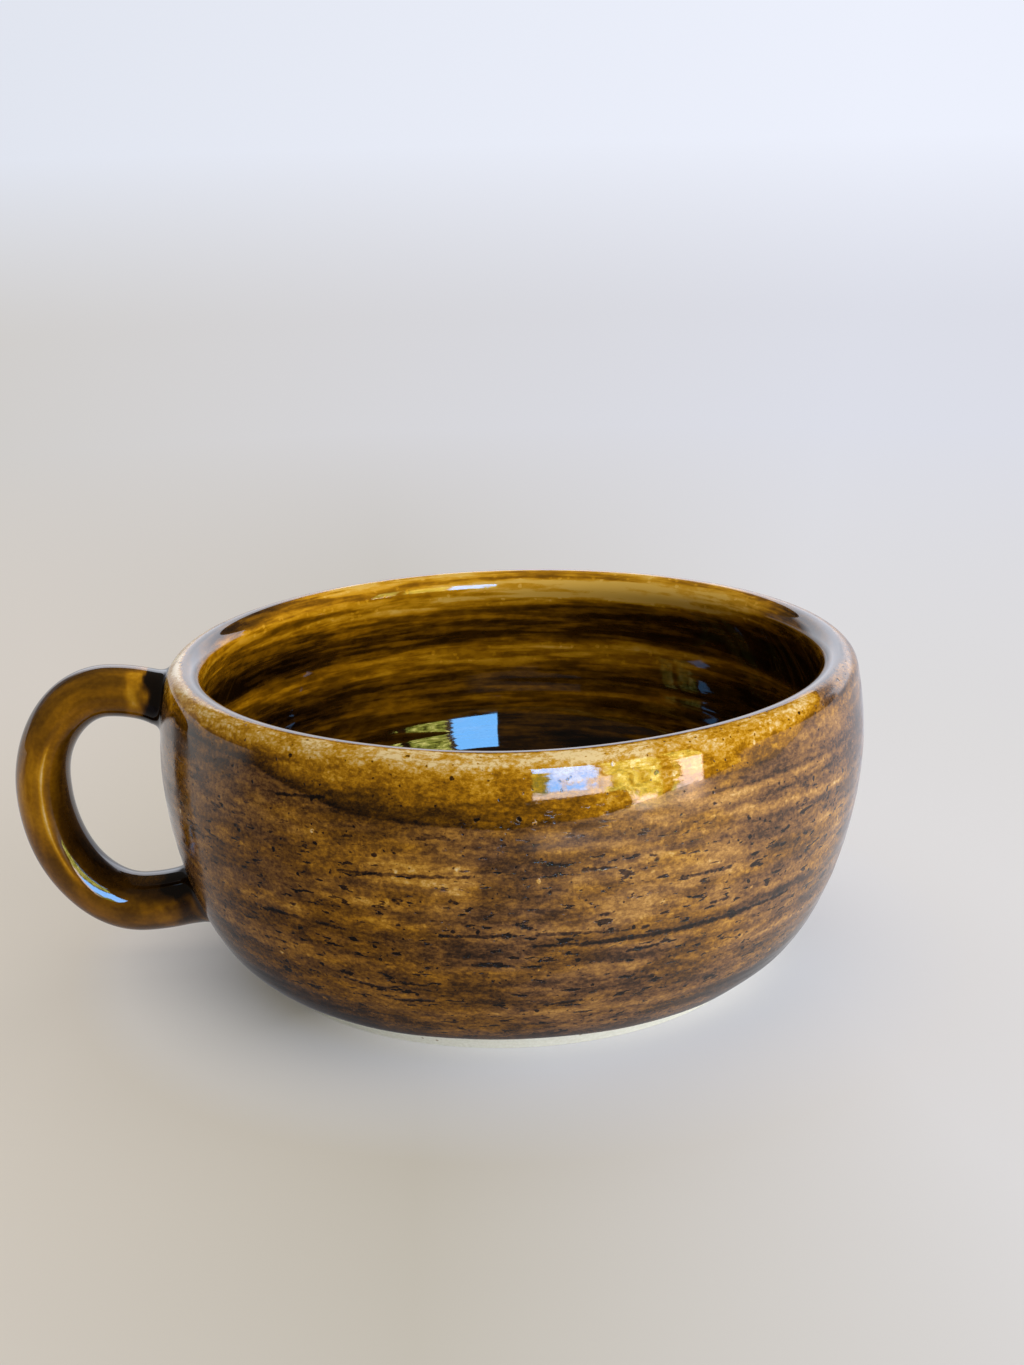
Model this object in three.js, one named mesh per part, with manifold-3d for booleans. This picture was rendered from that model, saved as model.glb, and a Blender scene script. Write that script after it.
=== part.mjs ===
// Low, wide handled mug: a thrown bowl on a turned foot, a pulled loop handle and a poured glaze.
// Millimetres, +Z up. The table is z = 0 and the handle points toward -X.
import * as THREE from 'three';
import { mergeVertices } from 'three/addons/utils/BufferGeometryUtils.js';
import Module from 'manifold-3d';

const wasm = await Module();
wasm.setup();

// Bowl, measured over the glaze
const height = 58.6;
const bellyDiameter = 130;
const bellyBelowLip = 16.7;
const lipDrawnIn = 1.35;
const lipThickness = 7.2;
const wallThickness = 6;
const wellDiameter = 84;
const floorThickness = 5.6;
const glazeThickness = 0.5;
// Exponents of the curves that carry the wall into the foot and into the well: 2 is an ellipse
const outerFullness = 1.73;
const innerFullness = 1.9;

// Foot, bare clay
const footDiameter = 93.8;
const footFlare = 2.3;
const footWidth = 5.6;
const footHeight = 3.9;
const footEdge = 0.6;
const glazeLineAboveFoot = 1;

// Handle, measured on the clay strap
const crownBelowLip = 5.4;
const crownReach = 9.5;
const outermostReach = 22.8;
const outermostBelowCrown = 17.7;
const lowestHeight = 11.3;
const lowestReach = 5.5;
const upperRootDrop = 3;
const lowerRootRise = 2.9;
const upperThickness = 8.2;
const lowerThickness = 10.1;
const upperWidth = 11.4;
const lowerWidth = 12.4;
const upperRootLength = 5;
const lowerRootLength = 6;
const upperRootFlare = 0.6;
const lowerRootFlare = 1.3;

// Clearances: a joint of dried slip at each root, and how deep the roots' shapes run before they are cut
const jointGap = 0.3;
const rootDepth = 2;

// Facets
const turns = 48;
const handleSides = 16;
const handleSteps = 26;
const outerSteps = 9;
const upperSteps = 3;
const lipSteps = 3;
const innerSteps = 8;

const bellyRadius = bellyDiameter / 2;
const bellyHeight = height - bellyBelowLip;
const lipRadius = lipThickness / 2;
const lipCentreRadius = bellyRadius - lipDrawnIn - lipRadius;
const lipCentreHeight = height - lipRadius;
const footTopRadius = footDiameter / 2 + footFlare;
const innerBellyRadius = bellyRadius - wallThickness;
const wellHeight = footHeight + floorThickness;

const clayMaterial = new THREE.MeshStandardMaterial({ color: 0xe6e2d6, roughness: 0.85, metalness: 0 });
const glazeMaterial = new THREE.MeshStandardMaterial({ color: 0x6a4210, roughness: 0.1, metalness: 0 });

// A wall that curves out from a flat bottom to the upright belly, in equal steps of an angle from a
// first height up: ((r - bottom) / (belly - bottom))^n + ((bellyHeight - z) / (bellyHeight - low))^n = 1
function wallCurve({ steps, bottomRadius, wallRadius, low, first, fullness }) {
  const start = Math.acos(((bellyHeight - first) / (bellyHeight - low)) ** (fullness / 2));
  return Array.from({ length: steps + 1 }, (_, i) => {
    const angle = THREE.MathUtils.lerp(start, Math.PI / 2, i / steps);
    const radius = bottomRadius + (wallRadius - bottomRadius) * Math.sin(angle) ** (2 / fullness);
    const z = bellyHeight - (bellyHeight - low) * Math.max(Math.cos(angle), 0) ** (2 / fullness);
    return new THREE.Vector2(radius, z);
  });
}

// A parabola from the belly, where it is upright, to the side of the lip
function upperCurve(wallRadius, sideRadius) {
  return Array.from({ length: upperSteps }, (_, i) => {
    const t = (i + 1) / upperSteps;
    const radius = wallRadius + (sideRadius - wallRadius) * t * t;
    return new THREE.Vector2(radius, bellyHeight + (lipCentreHeight - bellyHeight) * t);
  });
}

// The lip is a half round; the angle is 0 at its outer side, a quarter turn at its crown
function lipPoint(angle) {
  const radius = lipCentreRadius + lipRadius * Math.cos(angle);
  return new THREE.Vector2(radius, lipCentreHeight + lipRadius * Math.sin(angle));
}

// Each point of an outline moved sideways by a distance, to its right when positive.
// An end on the axis moves straight up or down.
function offset(points, distance) {
  return points.map((point, i) => {
    const before = points[Math.max(i - 1, 0)];
    const after = points[Math.min(i + 1, points.length - 1)];
    const a = new THREE.Vector2().subVectors(point, before).normalize();
    const b = new THREE.Vector2().subVectors(after, point).normalize();
    const along = new THREE.Vector2().addVectors(a, b).normalize();
    if (point.x === 0) {
      along.set(Math.sign(along.x), 0);
    }
    const inside = i > 0 && i < points.length - 1;
    const reach = inside ? distance / Math.sqrt((1 + a.dot(b)) / 2) : distance;
    return new THREE.Vector2(point.x + along.y * reach, point.y - along.x * reach);
  });
}

// The outline of the glazed surface, from the foot, up outside, over the lip and down to the axis.
// Its first point is where the glaze would start if it ran down to the foot.
const outerLow = footHeight - glazeThickness;
const outerGlaze = wallCurve({
  steps: outerSteps,
  bottomRadius: footTopRadius,
  wallRadius: bellyRadius,
  low: outerLow,
  first: outerLow + glazeLineAboveFoot,
  fullness: outerFullness,
});
outerGlaze.unshift(new THREE.Vector2(footTopRadius, outerLow));
outerGlaze.push(...upperCurve(bellyRadius, bellyRadius - lipDrawnIn));
for (let i = 1; i <= lipSteps; i += 1) {
  outerGlaze.push(lipPoint((i / lipSteps) * (Math.PI / 2)));
}
const innerGlaze = wallCurve({
  steps: innerSteps,
  bottomRadius: wellDiameter / 2,
  wallRadius: innerBellyRadius,
  low: wellHeight,
  first: wellHeight,
  fullness: innerFullness,
});
innerGlaze.push(...upperCurve(innerBellyRadius, lipCentreRadius - lipRadius));
for (let i = 1; i < lipSteps; i += 1) {
  innerGlaze.push(lipPoint(Math.PI - (i / lipSteps) * (Math.PI / 2)));
}
innerGlaze.unshift(new THREE.Vector2(0, wellHeight));
const glazeSurface = [...outerGlaze, ...innerGlaze.reverse()];
const claySurface = offset(glazeSurface, -glazeThickness);

// Places in both outlines: the lowest glazed point, above the bare band, and the crown of the lip
const glazeLine = 1;
const crown = outerGlaze.length - 1;
claySurface[0].set(footTopRadius, footHeight);

// A profile of radius and height turned about the bowl's axis
function turned(profile) {
  const geometry = new THREE.LatheGeometry(profile, turns);
  geometry.rotateX(Math.PI / 2);
  return closed(geometry);
}

// The geometry as bare positions with shared corners, without slivers, its faces pointing outward
function closed(geometry) {
  geometry.deleteAttribute('normal');
  geometry.deleteAttribute('uv');
  const merged = mergeVertices(geometry, 1e-5);
  const position = merged.getAttribute('position');
  const index = merged.getIndex().array;
  const corner = [new THREE.Vector3(), new THREE.Vector3(), new THREE.Vector3()];
  const kept = [];
  let volume = 0;
  for (let i = 0; i < index.length; i += 3) {
    const face = [index[i], index[i + 1], index[i + 2]];
    if (new Set(face).size === 3) {
      corner.forEach((vector, k) => vector.fromBufferAttribute(position, face[k]));
      volume += corner[0].dot(corner[1].clone().cross(corner[2]));
      kept.push(face);
    }
  }
  const outward = volume > 0 ? kept : kept.map(([a, b, c]) => [a, c, b]);
  merged.setIndex(outward.flat());
  return merged;
}

function toSolid(geometry) {
  const vertProperties = new Float32Array(geometry.getAttribute('position').array);
  const triVerts = new Uint32Array(geometry.getIndex().array);
  return new wasm.Manifold(new wasm.Mesh({ numProp: 3, vertProperties, triVerts }));
}

function toGeometry(solid) {
  const mesh = solid.getMesh();
  const geometry = new THREE.BufferGeometry();
  geometry.setAttribute('position', new THREE.BufferAttribute(new Float32Array(mesh.vertProperties), 3));
  geometry.setIndex(Array.from(mesh.triVerts));
  return geometry;
}

// What is left of a geometry where the cutters aren't
function cut(geometry, ...cutters) {
  let solid = toSolid(geometry);
  cutters.forEach((cutter) => {
    solid = solid.subtract(toSolid(cutter));
  });
  return toGeometry(solid);
}

// Radius of the clay wall's outside at a height between the foot and the lip
const clayOutside = claySurface.slice(0, crown + 1);
function clayRadiusAt(z) {
  const i = clayOutside.findIndex((point) => point.y >= z);
  const low = clayOutside[i - 1];
  const high = clayOutside[i];
  return low.x + ((high.x - low.x) * (z - low.y)) / (high.y - low.y);
}

// Centreline of the handle, in the upright plane through the bowl's axis: a rising parabola from the
// upper root to the crown, a quarter ellipse to the outermost point, a wider one to the lowest point,
// and a parabola that rises into the lower root
const crownPoint = new THREE.Vector2(bellyRadius + crownReach, height - crownBelowLip);
const outermost = new THREE.Vector2(bellyRadius + outermostReach, crownPoint.y - outermostBelowCrown);
const lowest = new THREE.Vector2(bellyRadius + lowestReach, lowestHeight);
const upperRootHeight = crownPoint.y - upperRootDrop;
const lowerRootHeight = lowest.y + lowerRootRise;
const upperRoot = new THREE.Vector2(clayRadiusAt(upperRootHeight) - rootDepth, upperRootHeight);
const lowerRoot = new THREE.Vector2(clayRadiusAt(lowerRootHeight) - rootDepth, lowerRootHeight);

// Share of a quarter ellipse's half axis at which a cubic curve's handles lie
const quarterHandle = 0.5523;

function upright(x, z) {
  return new THREE.Vector3(x, 0, z);
}

// A parabola between two points, level at the height that is given
function parabola(from, to, levelHeight) {
  const control = upright((from.x + to.x) / 2, levelHeight);
  return new THREE.QuadraticBezierCurve3(upright(from.x, from.y), control, upright(to.x, to.y));
}

// A quarter ellipse between a level point, at the crown or the lowest point, and the outermost one
function quarterEllipse(level) {
  return [
    upright(level.x, level.y),
    upright(THREE.MathUtils.lerp(level.x, outermost.x, quarterHandle), level.y),
    upright(outermost.x, THREE.MathUtils.lerp(outermost.y, level.y, quarterHandle)),
    upright(outermost.x, outermost.y),
  ];
}

const centreline = new THREE.CurvePath();
centreline.add(parabola(upperRoot, crownPoint, crownPoint.y));
centreline.add(new THREE.CubicBezierCurve3(...quarterEllipse(crownPoint)));
centreline.add(new THREE.CubicBezierCurve3(...quarterEllipse(lowest).reverse()));
centreline.add(parabola(lowest, lowerRoot, lowest.y));
const handleLength = centreline.getLength();

// How far a root swells at a distance from its start: all of the flare at the wall, none past the root
function swell(distance, length, flare) {
  const t = THREE.MathUtils.clamp(1 - (distance - rootDepth) / length, 0, 1);
  return flare * t * t;
}

// Section of the strap at a distance along the centreline: an ellipse, grown by an extra all round
function sectionRing(distance, extra) {
  const share = distance / handleLength;
  const centre = centreline.getPointAt(share);
  const tangent = centreline.getTangentAt(share);
  const across = new THREE.Vector3(tangent.z, 0, -tangent.x);
  const flare = swell(distance, upperRootLength, upperRootFlare)
    + swell(handleLength - distance, lowerRootLength, lowerRootFlare);
  const thickness = THREE.MathUtils.lerp(upperThickness, lowerThickness, share) / 2 + flare + extra;
  const width = THREE.MathUtils.lerp(upperWidth, lowerWidth, share) / 2 + flare + extra;
  return Array.from({ length: handleSides }, (_, i) => {
    const angle = (i / handleSides) * Math.PI * 2;
    const point = centre.clone().addScaledVector(across, thickness * Math.cos(angle));
    point.y += width * Math.sin(angle);
    return new THREE.Vector3(-point.x, point.y, point.z);
  });
}

// Distances of the sections from one end of a stretch to the other, both included
function stations(from, to) {
  const count = Math.max(2, Math.round(((to - from) / handleLength) * handleSteps));
  return Array.from({ length: count + 1 }, (_, i) => from + ((to - from) * i) / count);
}

// A solid through rings of equal count: its sides, and a fan of faces on each end
function strapGeometry(distances, extra) {
  const rings = distances.map((distance) => sectionRing(distance, extra));
  const index = [];
  for (let j = 0; j < rings.length - 1; j += 1) {
    addBand(index, j * handleSides, (j + 1) * handleSides);
  }
  const last = (rings.length - 1) * handleSides;
  for (let i = 1; i < handleSides - 1; i += 1) {
    index.push(0, i + 1, i, last, last + i, last + i + 1);
  }
  return ringGeometry(rings, index);
}

// A sleeve whose inside is the strap's surface, closed by a flat rim on each end
function sleeveGeometry(distances, thickness) {
  const inside = distances.map((distance) => sectionRing(distance, 0));
  const outside = distances.map((distance) => sectionRing(distance, thickness));
  const rings = [...inside, ...outside.reverse()];
  const index = [];
  rings.forEach((_, j) => {
    addBand(index, j * handleSides, ((j + 1) % rings.length) * handleSides);
  });
  return ringGeometry(rings, index);
}

// Two triangles for each side between one ring and the next
function addBand(index, start, next) {
  for (let i = 0; i < handleSides; i += 1) {
    const k = (i + 1) % handleSides;
    index.push(start + i, start + k, next + k, start + i, next + k, next + i);
  }
}

function ringGeometry(rings, index) {
  const geometry = new THREE.BufferGeometry().setFromPoints(rings.flat());
  geometry.setIndex(index);
  return closed(geometry);
}

// The space that the bowl fills with its glaze or its clay, grown by the joint's gap, as a cutter
function bowlCutter(points) {
  const grown = offset(points, jointGap);
  const bottom = new THREE.Vector2(0, grown[0].y);
  const top = new THREE.Vector2(0, grown[grown.length - 1].y);
  return turned([bottom, ...grown, top]);
}

const upperCut = rootDepth + upperRootLength;
const lowerCut = handleLength - rootDepth - lowerRootLength;
const upperStations = stations(0, upperCut);
const loopStations = stations(upperCut, lowerCut);
const lowerStations = stations(lowerCut, handleLength);
const sleeveStations = [...upperStations, ...loopStations.slice(1), ...lowerStations.slice(1)];
const clayCutter = bowlCutter(clayOutside);
const glazeCutter = bowlCutter(outerGlaze);

const footInner = footDiameter / 2 - footWidth;
const pieces = {
  foot_ring: [clayMaterial, () => turned([
    new THREE.Vector2(footInner + footEdge, 0),
    new THREE.Vector2(footDiameter / 2 - footEdge, 0),
    new THREE.Vector2(footDiameter / 2, footEdge),
    new THREE.Vector2(footTopRadius, footHeight),
    new THREE.Vector2(footInner, footHeight),
    new THREE.Vector2(footInner, footEdge),
    new THREE.Vector2(footInner + footEdge, 0),
  ])],
  bowl: [clayMaterial, () => turned([new THREE.Vector2(0, footHeight), ...claySurface])],
  handle_root_upper: [clayMaterial, () => cut(strapGeometry(upperStations, 0), clayCutter)],
  handle_loop: [clayMaterial, () => strapGeometry(loopStations, 0)],
  handle_root_lower: [clayMaterial, () => cut(strapGeometry(lowerStations, 0), clayCutter)],
  glaze_inside: [glazeMaterial, () => turned([
    ...glazeSurface.slice(crown),
    ...claySurface.slice(crown).reverse(),
    glazeSurface[crown],
  ])],
  glaze_outside: [glazeMaterial, () => cut(
    turned([
      ...claySurface.slice(glazeLine, crown + 1),
      ...glazeSurface.slice(glazeLine, crown + 1).reverse(),
      claySurface[glazeLine],
    ]),
    strapGeometry(upperStations, jointGap),
    strapGeometry(lowerStations, jointGap),
  )],
  glaze_handle: [glazeMaterial, () => cut(sleeveGeometry(sleeveStations, glazeThickness), glazeCutter)],
};

const mug = new THREE.Group();
Object.entries(pieces).forEach(([name, [material, makeGeometry]]) => {
  const mesh = new THREE.Mesh(makeGeometry(), material);
  mesh.name = name;
  mug.add(mesh);
});

// The origin is the middle of the whole mug's footprint, on the table
const box = new THREE.Box3().setFromObject(mug);
mug.position.set(-(box.min.x + box.max.x) / 2, -(box.min.y + box.max.y) / 2, -box.min.z);
mug.updateMatrixWorld(true);

export default mug;
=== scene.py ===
"""A low, wide mug thrown in pale stoneware, with a pulled loop handle and a poured amber to brown glaze.

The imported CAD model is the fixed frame: metres, +Z up, the table at z = 0 and the handle toward -X.
Every CAD node is replaced by one piece of the same sizes, worked out on a grid of two parameters.
Sizes in this file are millimetres and angles are degrees unless a name says otherwise.
"""

import logging
from dataclasses import dataclass, field
from enum import Enum

import bpy
import numpy as np
from bpy.types import Material, Node, NodeSocket, NodeTree, Object
from mathutils import Matrix, Vector


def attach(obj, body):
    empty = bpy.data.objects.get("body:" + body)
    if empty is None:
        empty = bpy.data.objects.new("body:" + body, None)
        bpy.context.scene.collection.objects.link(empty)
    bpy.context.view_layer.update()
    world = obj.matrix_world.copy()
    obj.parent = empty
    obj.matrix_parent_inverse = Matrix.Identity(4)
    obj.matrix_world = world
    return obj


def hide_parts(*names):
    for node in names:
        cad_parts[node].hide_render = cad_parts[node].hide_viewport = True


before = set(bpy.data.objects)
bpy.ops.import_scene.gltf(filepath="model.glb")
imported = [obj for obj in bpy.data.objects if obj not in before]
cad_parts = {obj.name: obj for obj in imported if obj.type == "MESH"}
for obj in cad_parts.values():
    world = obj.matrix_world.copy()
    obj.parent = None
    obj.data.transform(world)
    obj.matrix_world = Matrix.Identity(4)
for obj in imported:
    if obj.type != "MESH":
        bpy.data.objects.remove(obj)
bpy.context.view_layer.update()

Array = np.ndarray
Stops = tuple[tuple[float, str], ...]
Stations = tuple[tuple[float, float], ...]
Source = Node | NodeSocket

# The two ends of a ramp and its values there, which are 0 and 1 where they are left out.
Ramp = tuple[float, ...]

MM = 0.001
BODY = "root"
BOWL_AXIS = 13.903
BEAD_RINGS = 6
HALVINGS = 40

# A spot has its full depth over this share of its radius.
FULL_WITHIN = 0.6

# A Mix node's colour sockets share their names with others, so they are told by their place.
COLOUR_A, COLOUR_B = 6, 7

log = logging.getLogger("mug")


class Slot(Enum):
    """The record's material slots."""

    CLAY = "fired_clay"
    GLAZE = "amber_glaze"


class Ends(Enum):
    """How the first and the last ring of a piece are closed."""

    JOINED = "the last ring runs back into the first"
    POLES = "each is closed on a point of its own"


# Numbers along a curve


def between(value: Array, low: float, high: float) -> Array:
    """Smooth step from 0 at low to 1 at high: 3t^2 - 2t^3."""
    share = np.clip((value - low) / (high - low), 0, 1)
    return share * share * (3 - 2 * share)


def bump(value: Array, centre: Array | float, spread: Array | float) -> Array:
    """A bell of height 1: exp(-((value - centre) / spread)^2)."""
    return np.exp(-(((value - centre) / spread) ** 2))


@dataclass(frozen=True)
class Bell:
    """A bell of height 1 about a centre."""

    centre: float
    spread: float

    def at(self, value: Array) -> Array:
        """Its height at each value."""
        return bump(value, self.centre, self.spread)


@dataclass(frozen=True)
class Band:
    """A band of height 1 that rises over one pair of values and falls over another. It has no end where
    a pair is left out."""

    rise: tuple[float, float] | None = None
    fall: tuple[float, float] | None = None

    def at(self, value: Array) -> Array:
        """Its height at each value."""
        risen = between(value, *self.rise) if self.rise else 1.0
        fallen = between(value, *self.fall) if self.fall else 0.0
        return risen * (1 - fallen)


def walked(points: Array) -> Array:
    """Distance along a polyline at each of its corners, from 0."""
    steps = np.linalg.norm(np.diff(points, axis=0), axis=1)
    return np.concatenate([[0], np.cumsum(steps)])


def resample(points: Array, spacing: float) -> Array:
    """Points at even distances along a polyline.

    Args:
        points: corners of the polyline, one row each.
        spacing: the wanted distance between two points.

    Returns:
        The new points, both ends included.
    """
    distance = walked(points)
    stations = np.linspace(0, distance[-1], max(2, round(distance[-1] / spacing) + 1))
    return np.stack([np.interp(stations, distance, column) for column in points.T], axis=1)


def eased(points: Array, spread: float) -> Array:
    """Rounds the corners of a polyline by a bell-shaped mean along it.

    Args:
        points: corners of the polyline, one row each.
        spread: the bell's standard deviation.

    Returns:
        Close points of the rounded line. Each end is continued by its own reflection, so it stays.
    """
    steps_per_spread, reach = 8, 24
    dense = resample(points, spread / steps_per_spread)
    bell = bump(np.arange(-reach, reach + 1), 0.0, np.sqrt(2) * steps_per_spread)
    before = 2 * dense[0] - dense[reach:0:-1]
    after = 2 * dense[-1] - dense[-2:-reach - 2:-1]
    longer = np.concatenate([before, dense, after])
    return np.stack([np.convolve(column, bell / bell.sum(), "valid") for column in longer.T], axis=1)


@dataclass(frozen=True)
class Mottle:
    """Soft patches that close round a piece: random heights on a lattice, blended by 3t^2 - 2t^3. A turn
    holds a number of cells, and a length of the piece one."""

    strength: float
    cells: int
    length: float
    seed: int

    def at(self, turn: Array, along: Array) -> Array:
        """The patches' height at each point.

        Args:
            turn: share of a turn at each point.
            along: distance along the piece at each point.

        Returns:
            Values no further from 0 than the strength.
        """
        column = turn * self.cells
        row = (along - along.min()) / self.length
        left, low = np.floor(column).astype(int), np.floor(row).astype(int)
        lattice = np.random.default_rng(self.seed).uniform(-1, 1, (low.max() + 2, self.cells))
        across, up = between(column - left, 0, 1), between(row - low, 0, 1)
        left, right = left % self.cells, (left + 1) % self.cells
        lower = lattice[low, left] * (1 - across) + lattice[low, right] * across
        upper = lattice[low + 1, left] * (1 - across) + lattice[low + 1, right] * across
        return self.strength * (lower * (1 - up) + upper * up)


def away_from_lines(across: Array, up: Array, lines: Array, furthest: float) -> Array:
    """Distance from each point of a flat map to the nearest of some straight lines.

    Args:
        across: the points' first coordinate.
        up: their second.
        lines: the two ends of each line.
        furthest: the greatest distance that is given.

    Returns:
        The distances.
    """
    nearest = furthest + 0 * (across + up)
    for (left, low), (right, high) in lines:
        run, rise = right - left, high - low
        share = np.clip(((across - left) * run + (up - low) * rise) / (run * run + rise * rise), 0, 1)
        nearest = np.minimum(nearest, np.hypot(across - left - share * run, up - low - share * rise))
    return nearest


def thinned(rings: Array, count: int) -> Array:
    """A number of rings at even places among many, both ends included."""
    return rings[np.linspace(0, len(rings) - 1, count).round().astype(int)]


def finger_rings(turn: Array, along: Array, pitches: tuple[float, ...], seed: int) -> Array:
    """Rings that fingers leave while the clay turns: a sum of sines along the wall, each climbing one
    pitch a turn, so that it closes on itself. The sines seldom peak together, so the sum is raised by
    half.

    Args:
        turn: share of a turn at each point.
        along: distance along the wall at each point.
        pitches: distance between two rings of each sine; a wider one is higher.
        seed: picks where each sine starts.

    Returns:
        Heights of about -1 to 1.
    """
    starts = np.random.default_rng(seed).uniform(0, 2 * np.pi, len(pitches))
    weights = 1.5 * np.sqrt(pitches) / np.sqrt(pitches).sum()
    return sum(
        weight * np.sin(2 * np.pi * (along / pitch + turn) + start)
        for pitch, weight, start in zip(pitches, weights, starts)
    )


def turned(outline: Array, columns: int) -> Array:
    """Turns an outline about the upright axis: r cos a, r sin a, z.

    Args:
        outline: radius and height of each ring.
        columns: points in a ring; the first is at half a turn.

    Returns:
        Rings of points.
    """
    angle = np.linspace(-np.pi, np.pi, columns, endpoint=False)
    radius, height = outline[:, :1], outline[:, 1:]
    return np.stack(np.broadcast_arrays(radius * np.cos(angle), radius * np.sin(angle), height), axis=2)


# Surfaces


@dataclass
class Surface:
    """Rings of points, and what the piece's material reads at each of them: lie is the place on the coat,
    and glass holds the depth of glass, the height above the second pour's edge and the distance to the
    nearest furrow."""

    points: Array
    normals: Array
    lie: Array
    glass: Array

    def part(self, rings: slice) -> "Surface":
        """Some of the rings, in the slice's order."""
        return Surface(self.points[rings], self.normals[rings], self.lie[rings], self.glass[rings])


def joined(*parts: Surface) -> Surface:
    """The rings of several surfaces, one after another."""
    names = ("points", "normals", "lie", "glass")
    return Surface(*(np.concatenate([getattr(part, name) for part in parts]) for name in names))


def grid_normals(points: Array, outward: Array) -> Array:
    """Unit normals of a grid of rings: the cross product of the steps along it and round it.

    Args:
        points: rings of points.
        outward: a rough direction out of the piece at each point, which settles the sign.

    Returns:
        One unit vector for each point.
    """
    along = np.gradient(points, axis=0)
    round_it = np.roll(points, -1, axis=1) - np.roll(points, 1, axis=1)
    normals = np.cross(along, round_it)
    normals *= np.sign((normals * outward).sum(axis=2, keepdims=True))
    return normals / np.linalg.norm(normals, axis=2, keepdims=True)


def ring_faces(rings: int, columns: int, ends: Ends) -> list[tuple[int, ...]]:
    """Faces between rings: four corners each, and a fan of three at each pole.

    Args:
        rings: number of rings.
        columns: points in a ring.
        ends: how the ends are closed; the poles are the two last points of the mesh.

    Returns:
        The corners of each face, all turned the same way.
    """
    ring = np.arange(rings * columns).reshape(rings, columns)
    above = np.roll(ring, -1, axis=0) if ends is Ends.JOINED else ring[1:]
    below = ring if ends is Ends.JOINED else ring[:-1]
    corners = [below, np.roll(below, -1, axis=1), np.roll(above, -1, axis=1), above]
    faces = [tuple(face) for face in np.stack(corners, axis=2).reshape(-1, 4).tolist()]
    if ends is Ends.POLES:
        for circle, pole in ((ring[0][::-1], rings * columns), (ring[-1], rings * columns + 1)):
            nexts = np.roll(circle, -1)
            faces += [(a, b, pole) for a, b in zip(circle.tolist(), nexts.tolist())]
    return faces


def enclosed_volume(points: Array, faces: list[tuple[int, ...]]) -> float:
    """Signed volume of a closed mesh, positive when its faces point outward: a sixth of the sum of the
    triple products of each face's triangles."""
    fans = [(face[0], face[i], face[i + 1]) for face in faces for i in range(1, len(face) - 1)]
    a, b, c = np.transpose(points[np.array(fans)], (1, 0, 2))
    return float((a * np.cross(b, c)).sum() / 6)


def make_piece(name: str, surface: Surface, ends: Ends, node: str, slot: Slot, finish: Material) -> Object:
    """Makes a closed mesh of a surface, in metres in the CAD's frame, with its object at the origin.

    Args:
        name: the piece's name.
        surface: its rings, in millimetres.
        ends: how the rings are closed. A pole is the middle of its ring.
        node: the CAD node that the piece replaces.
        slot: the record's material slot, which is not used.
        finish: the piece's material.

    Returns:
        The new object, linked into the scene.
    """
    rings, columns = surface.points.shape[:2]
    points = surface.points.reshape(-1, 3)
    normals = surface.normals.reshape(-1, 3)
    lie = surface.lie.reshape(-1, 3)
    glass = surface.glass.reshape(-1, 3)
    if ends is Ends.POLES:
        first_and_last = [0, -1]
        points = np.concatenate([points, surface.points[first_and_last].mean(axis=1)])
        poles = surface.normals[first_and_last].mean(axis=1)
        normals = np.concatenate([normals, poles / np.linalg.norm(poles, axis=1, keepdims=True)])
        lie = np.concatenate([lie, surface.lie[first_and_last].mean(axis=1)])
        glass = np.concatenate([glass, surface.glass[first_and_last].mean(axis=1)])
    faces = ring_faces(rings, columns, ends)
    if enclosed_volume(points, faces) < 0:
        faces = [face[::-1] for face in faces]
    mesh = bpy.data.meshes.new(name)
    mesh.from_pydata((points * MM).tolist(), [], faces)
    mesh.polygons.foreach_set("use_smooth", np.ones(len(faces), bool))
    mesh.attributes.new("lie", "FLOAT_VECTOR", "POINT").data.foreach_set("vector", (lie * MM).ravel())
    mesh.attributes.new("glass", "FLOAT_VECTOR", "POINT").data.foreach_set("vector", glass.ravel())
    mesh.normals_split_custom_set_from_vertices(normals.tolist())
    mesh.materials.append(finish)
    mesh.update()
    piece = bpy.data.objects.new(name, mesh)
    bpy.context.scene.collection.objects.link(piece)
    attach(piece, BODY)
    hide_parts(node)
    return piece


# Finishes


def linear(colour: str) -> tuple[float, float, float, float]:
    """An sRGB hex colour such as "8a5a0c" as linear red, green, blue and alpha."""
    channels = [int(colour[i:i + 2], 16) / 255 for i in (0, 2, 4)]
    red, green, blue = (c / 12.92 if c <= 0.04045 else ((c + 0.055) / 1.055) ** 2.4 for c in channels)
    return red, green, blue, 1.0


def add_node(tree: NodeTree, kind: str, *inputs, named: dict | None = None, **settings) -> Node:
    """Adds a node with its settings, values and links.

    Args:
        tree: the node tree.
        kind: the node's type, without its leading "ShaderNode".
        inputs: what goes into the node's first inputs, in their order: a value, a socket that is
            linked, or a node whose first output in use is linked.
        named: what goes into further inputs, by their name or place.
        settings: the node's own properties. stops fills a colour ramp with places and hex colours.

    Returns:
        The new node.
    """
    node = tree.nodes.new("ShaderNode" + kind)
    stops = settings.pop("stops", ())
    for name, value in settings.items():
        setattr(node, name, value)
    for place, (position, colour) in enumerate(stops):
        elements = node.color_ramp.elements
        element = elements[place] if place < 2 else elements.new(position)
        element.position, element.color = position, linear(colour)
    for name, value in {**dict(enumerate(inputs)), **(named or {})}.items():
        if isinstance(value, Node):
            value = next(output for output in value.outputs if output.enabled)
        if isinstance(value, NodeSocket):
            tree.links.new(value, node.inputs[name])
        else:
            node.inputs[name].default_value = value
    return node


def new_material(name: str) -> tuple[Material, NodeTree]:
    """An empty material and its node tree."""
    material = bpy.data.materials.new(name)
    material.use_nodes = True
    material.node_tree.nodes.clear()
    return material, material.node_tree


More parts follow.
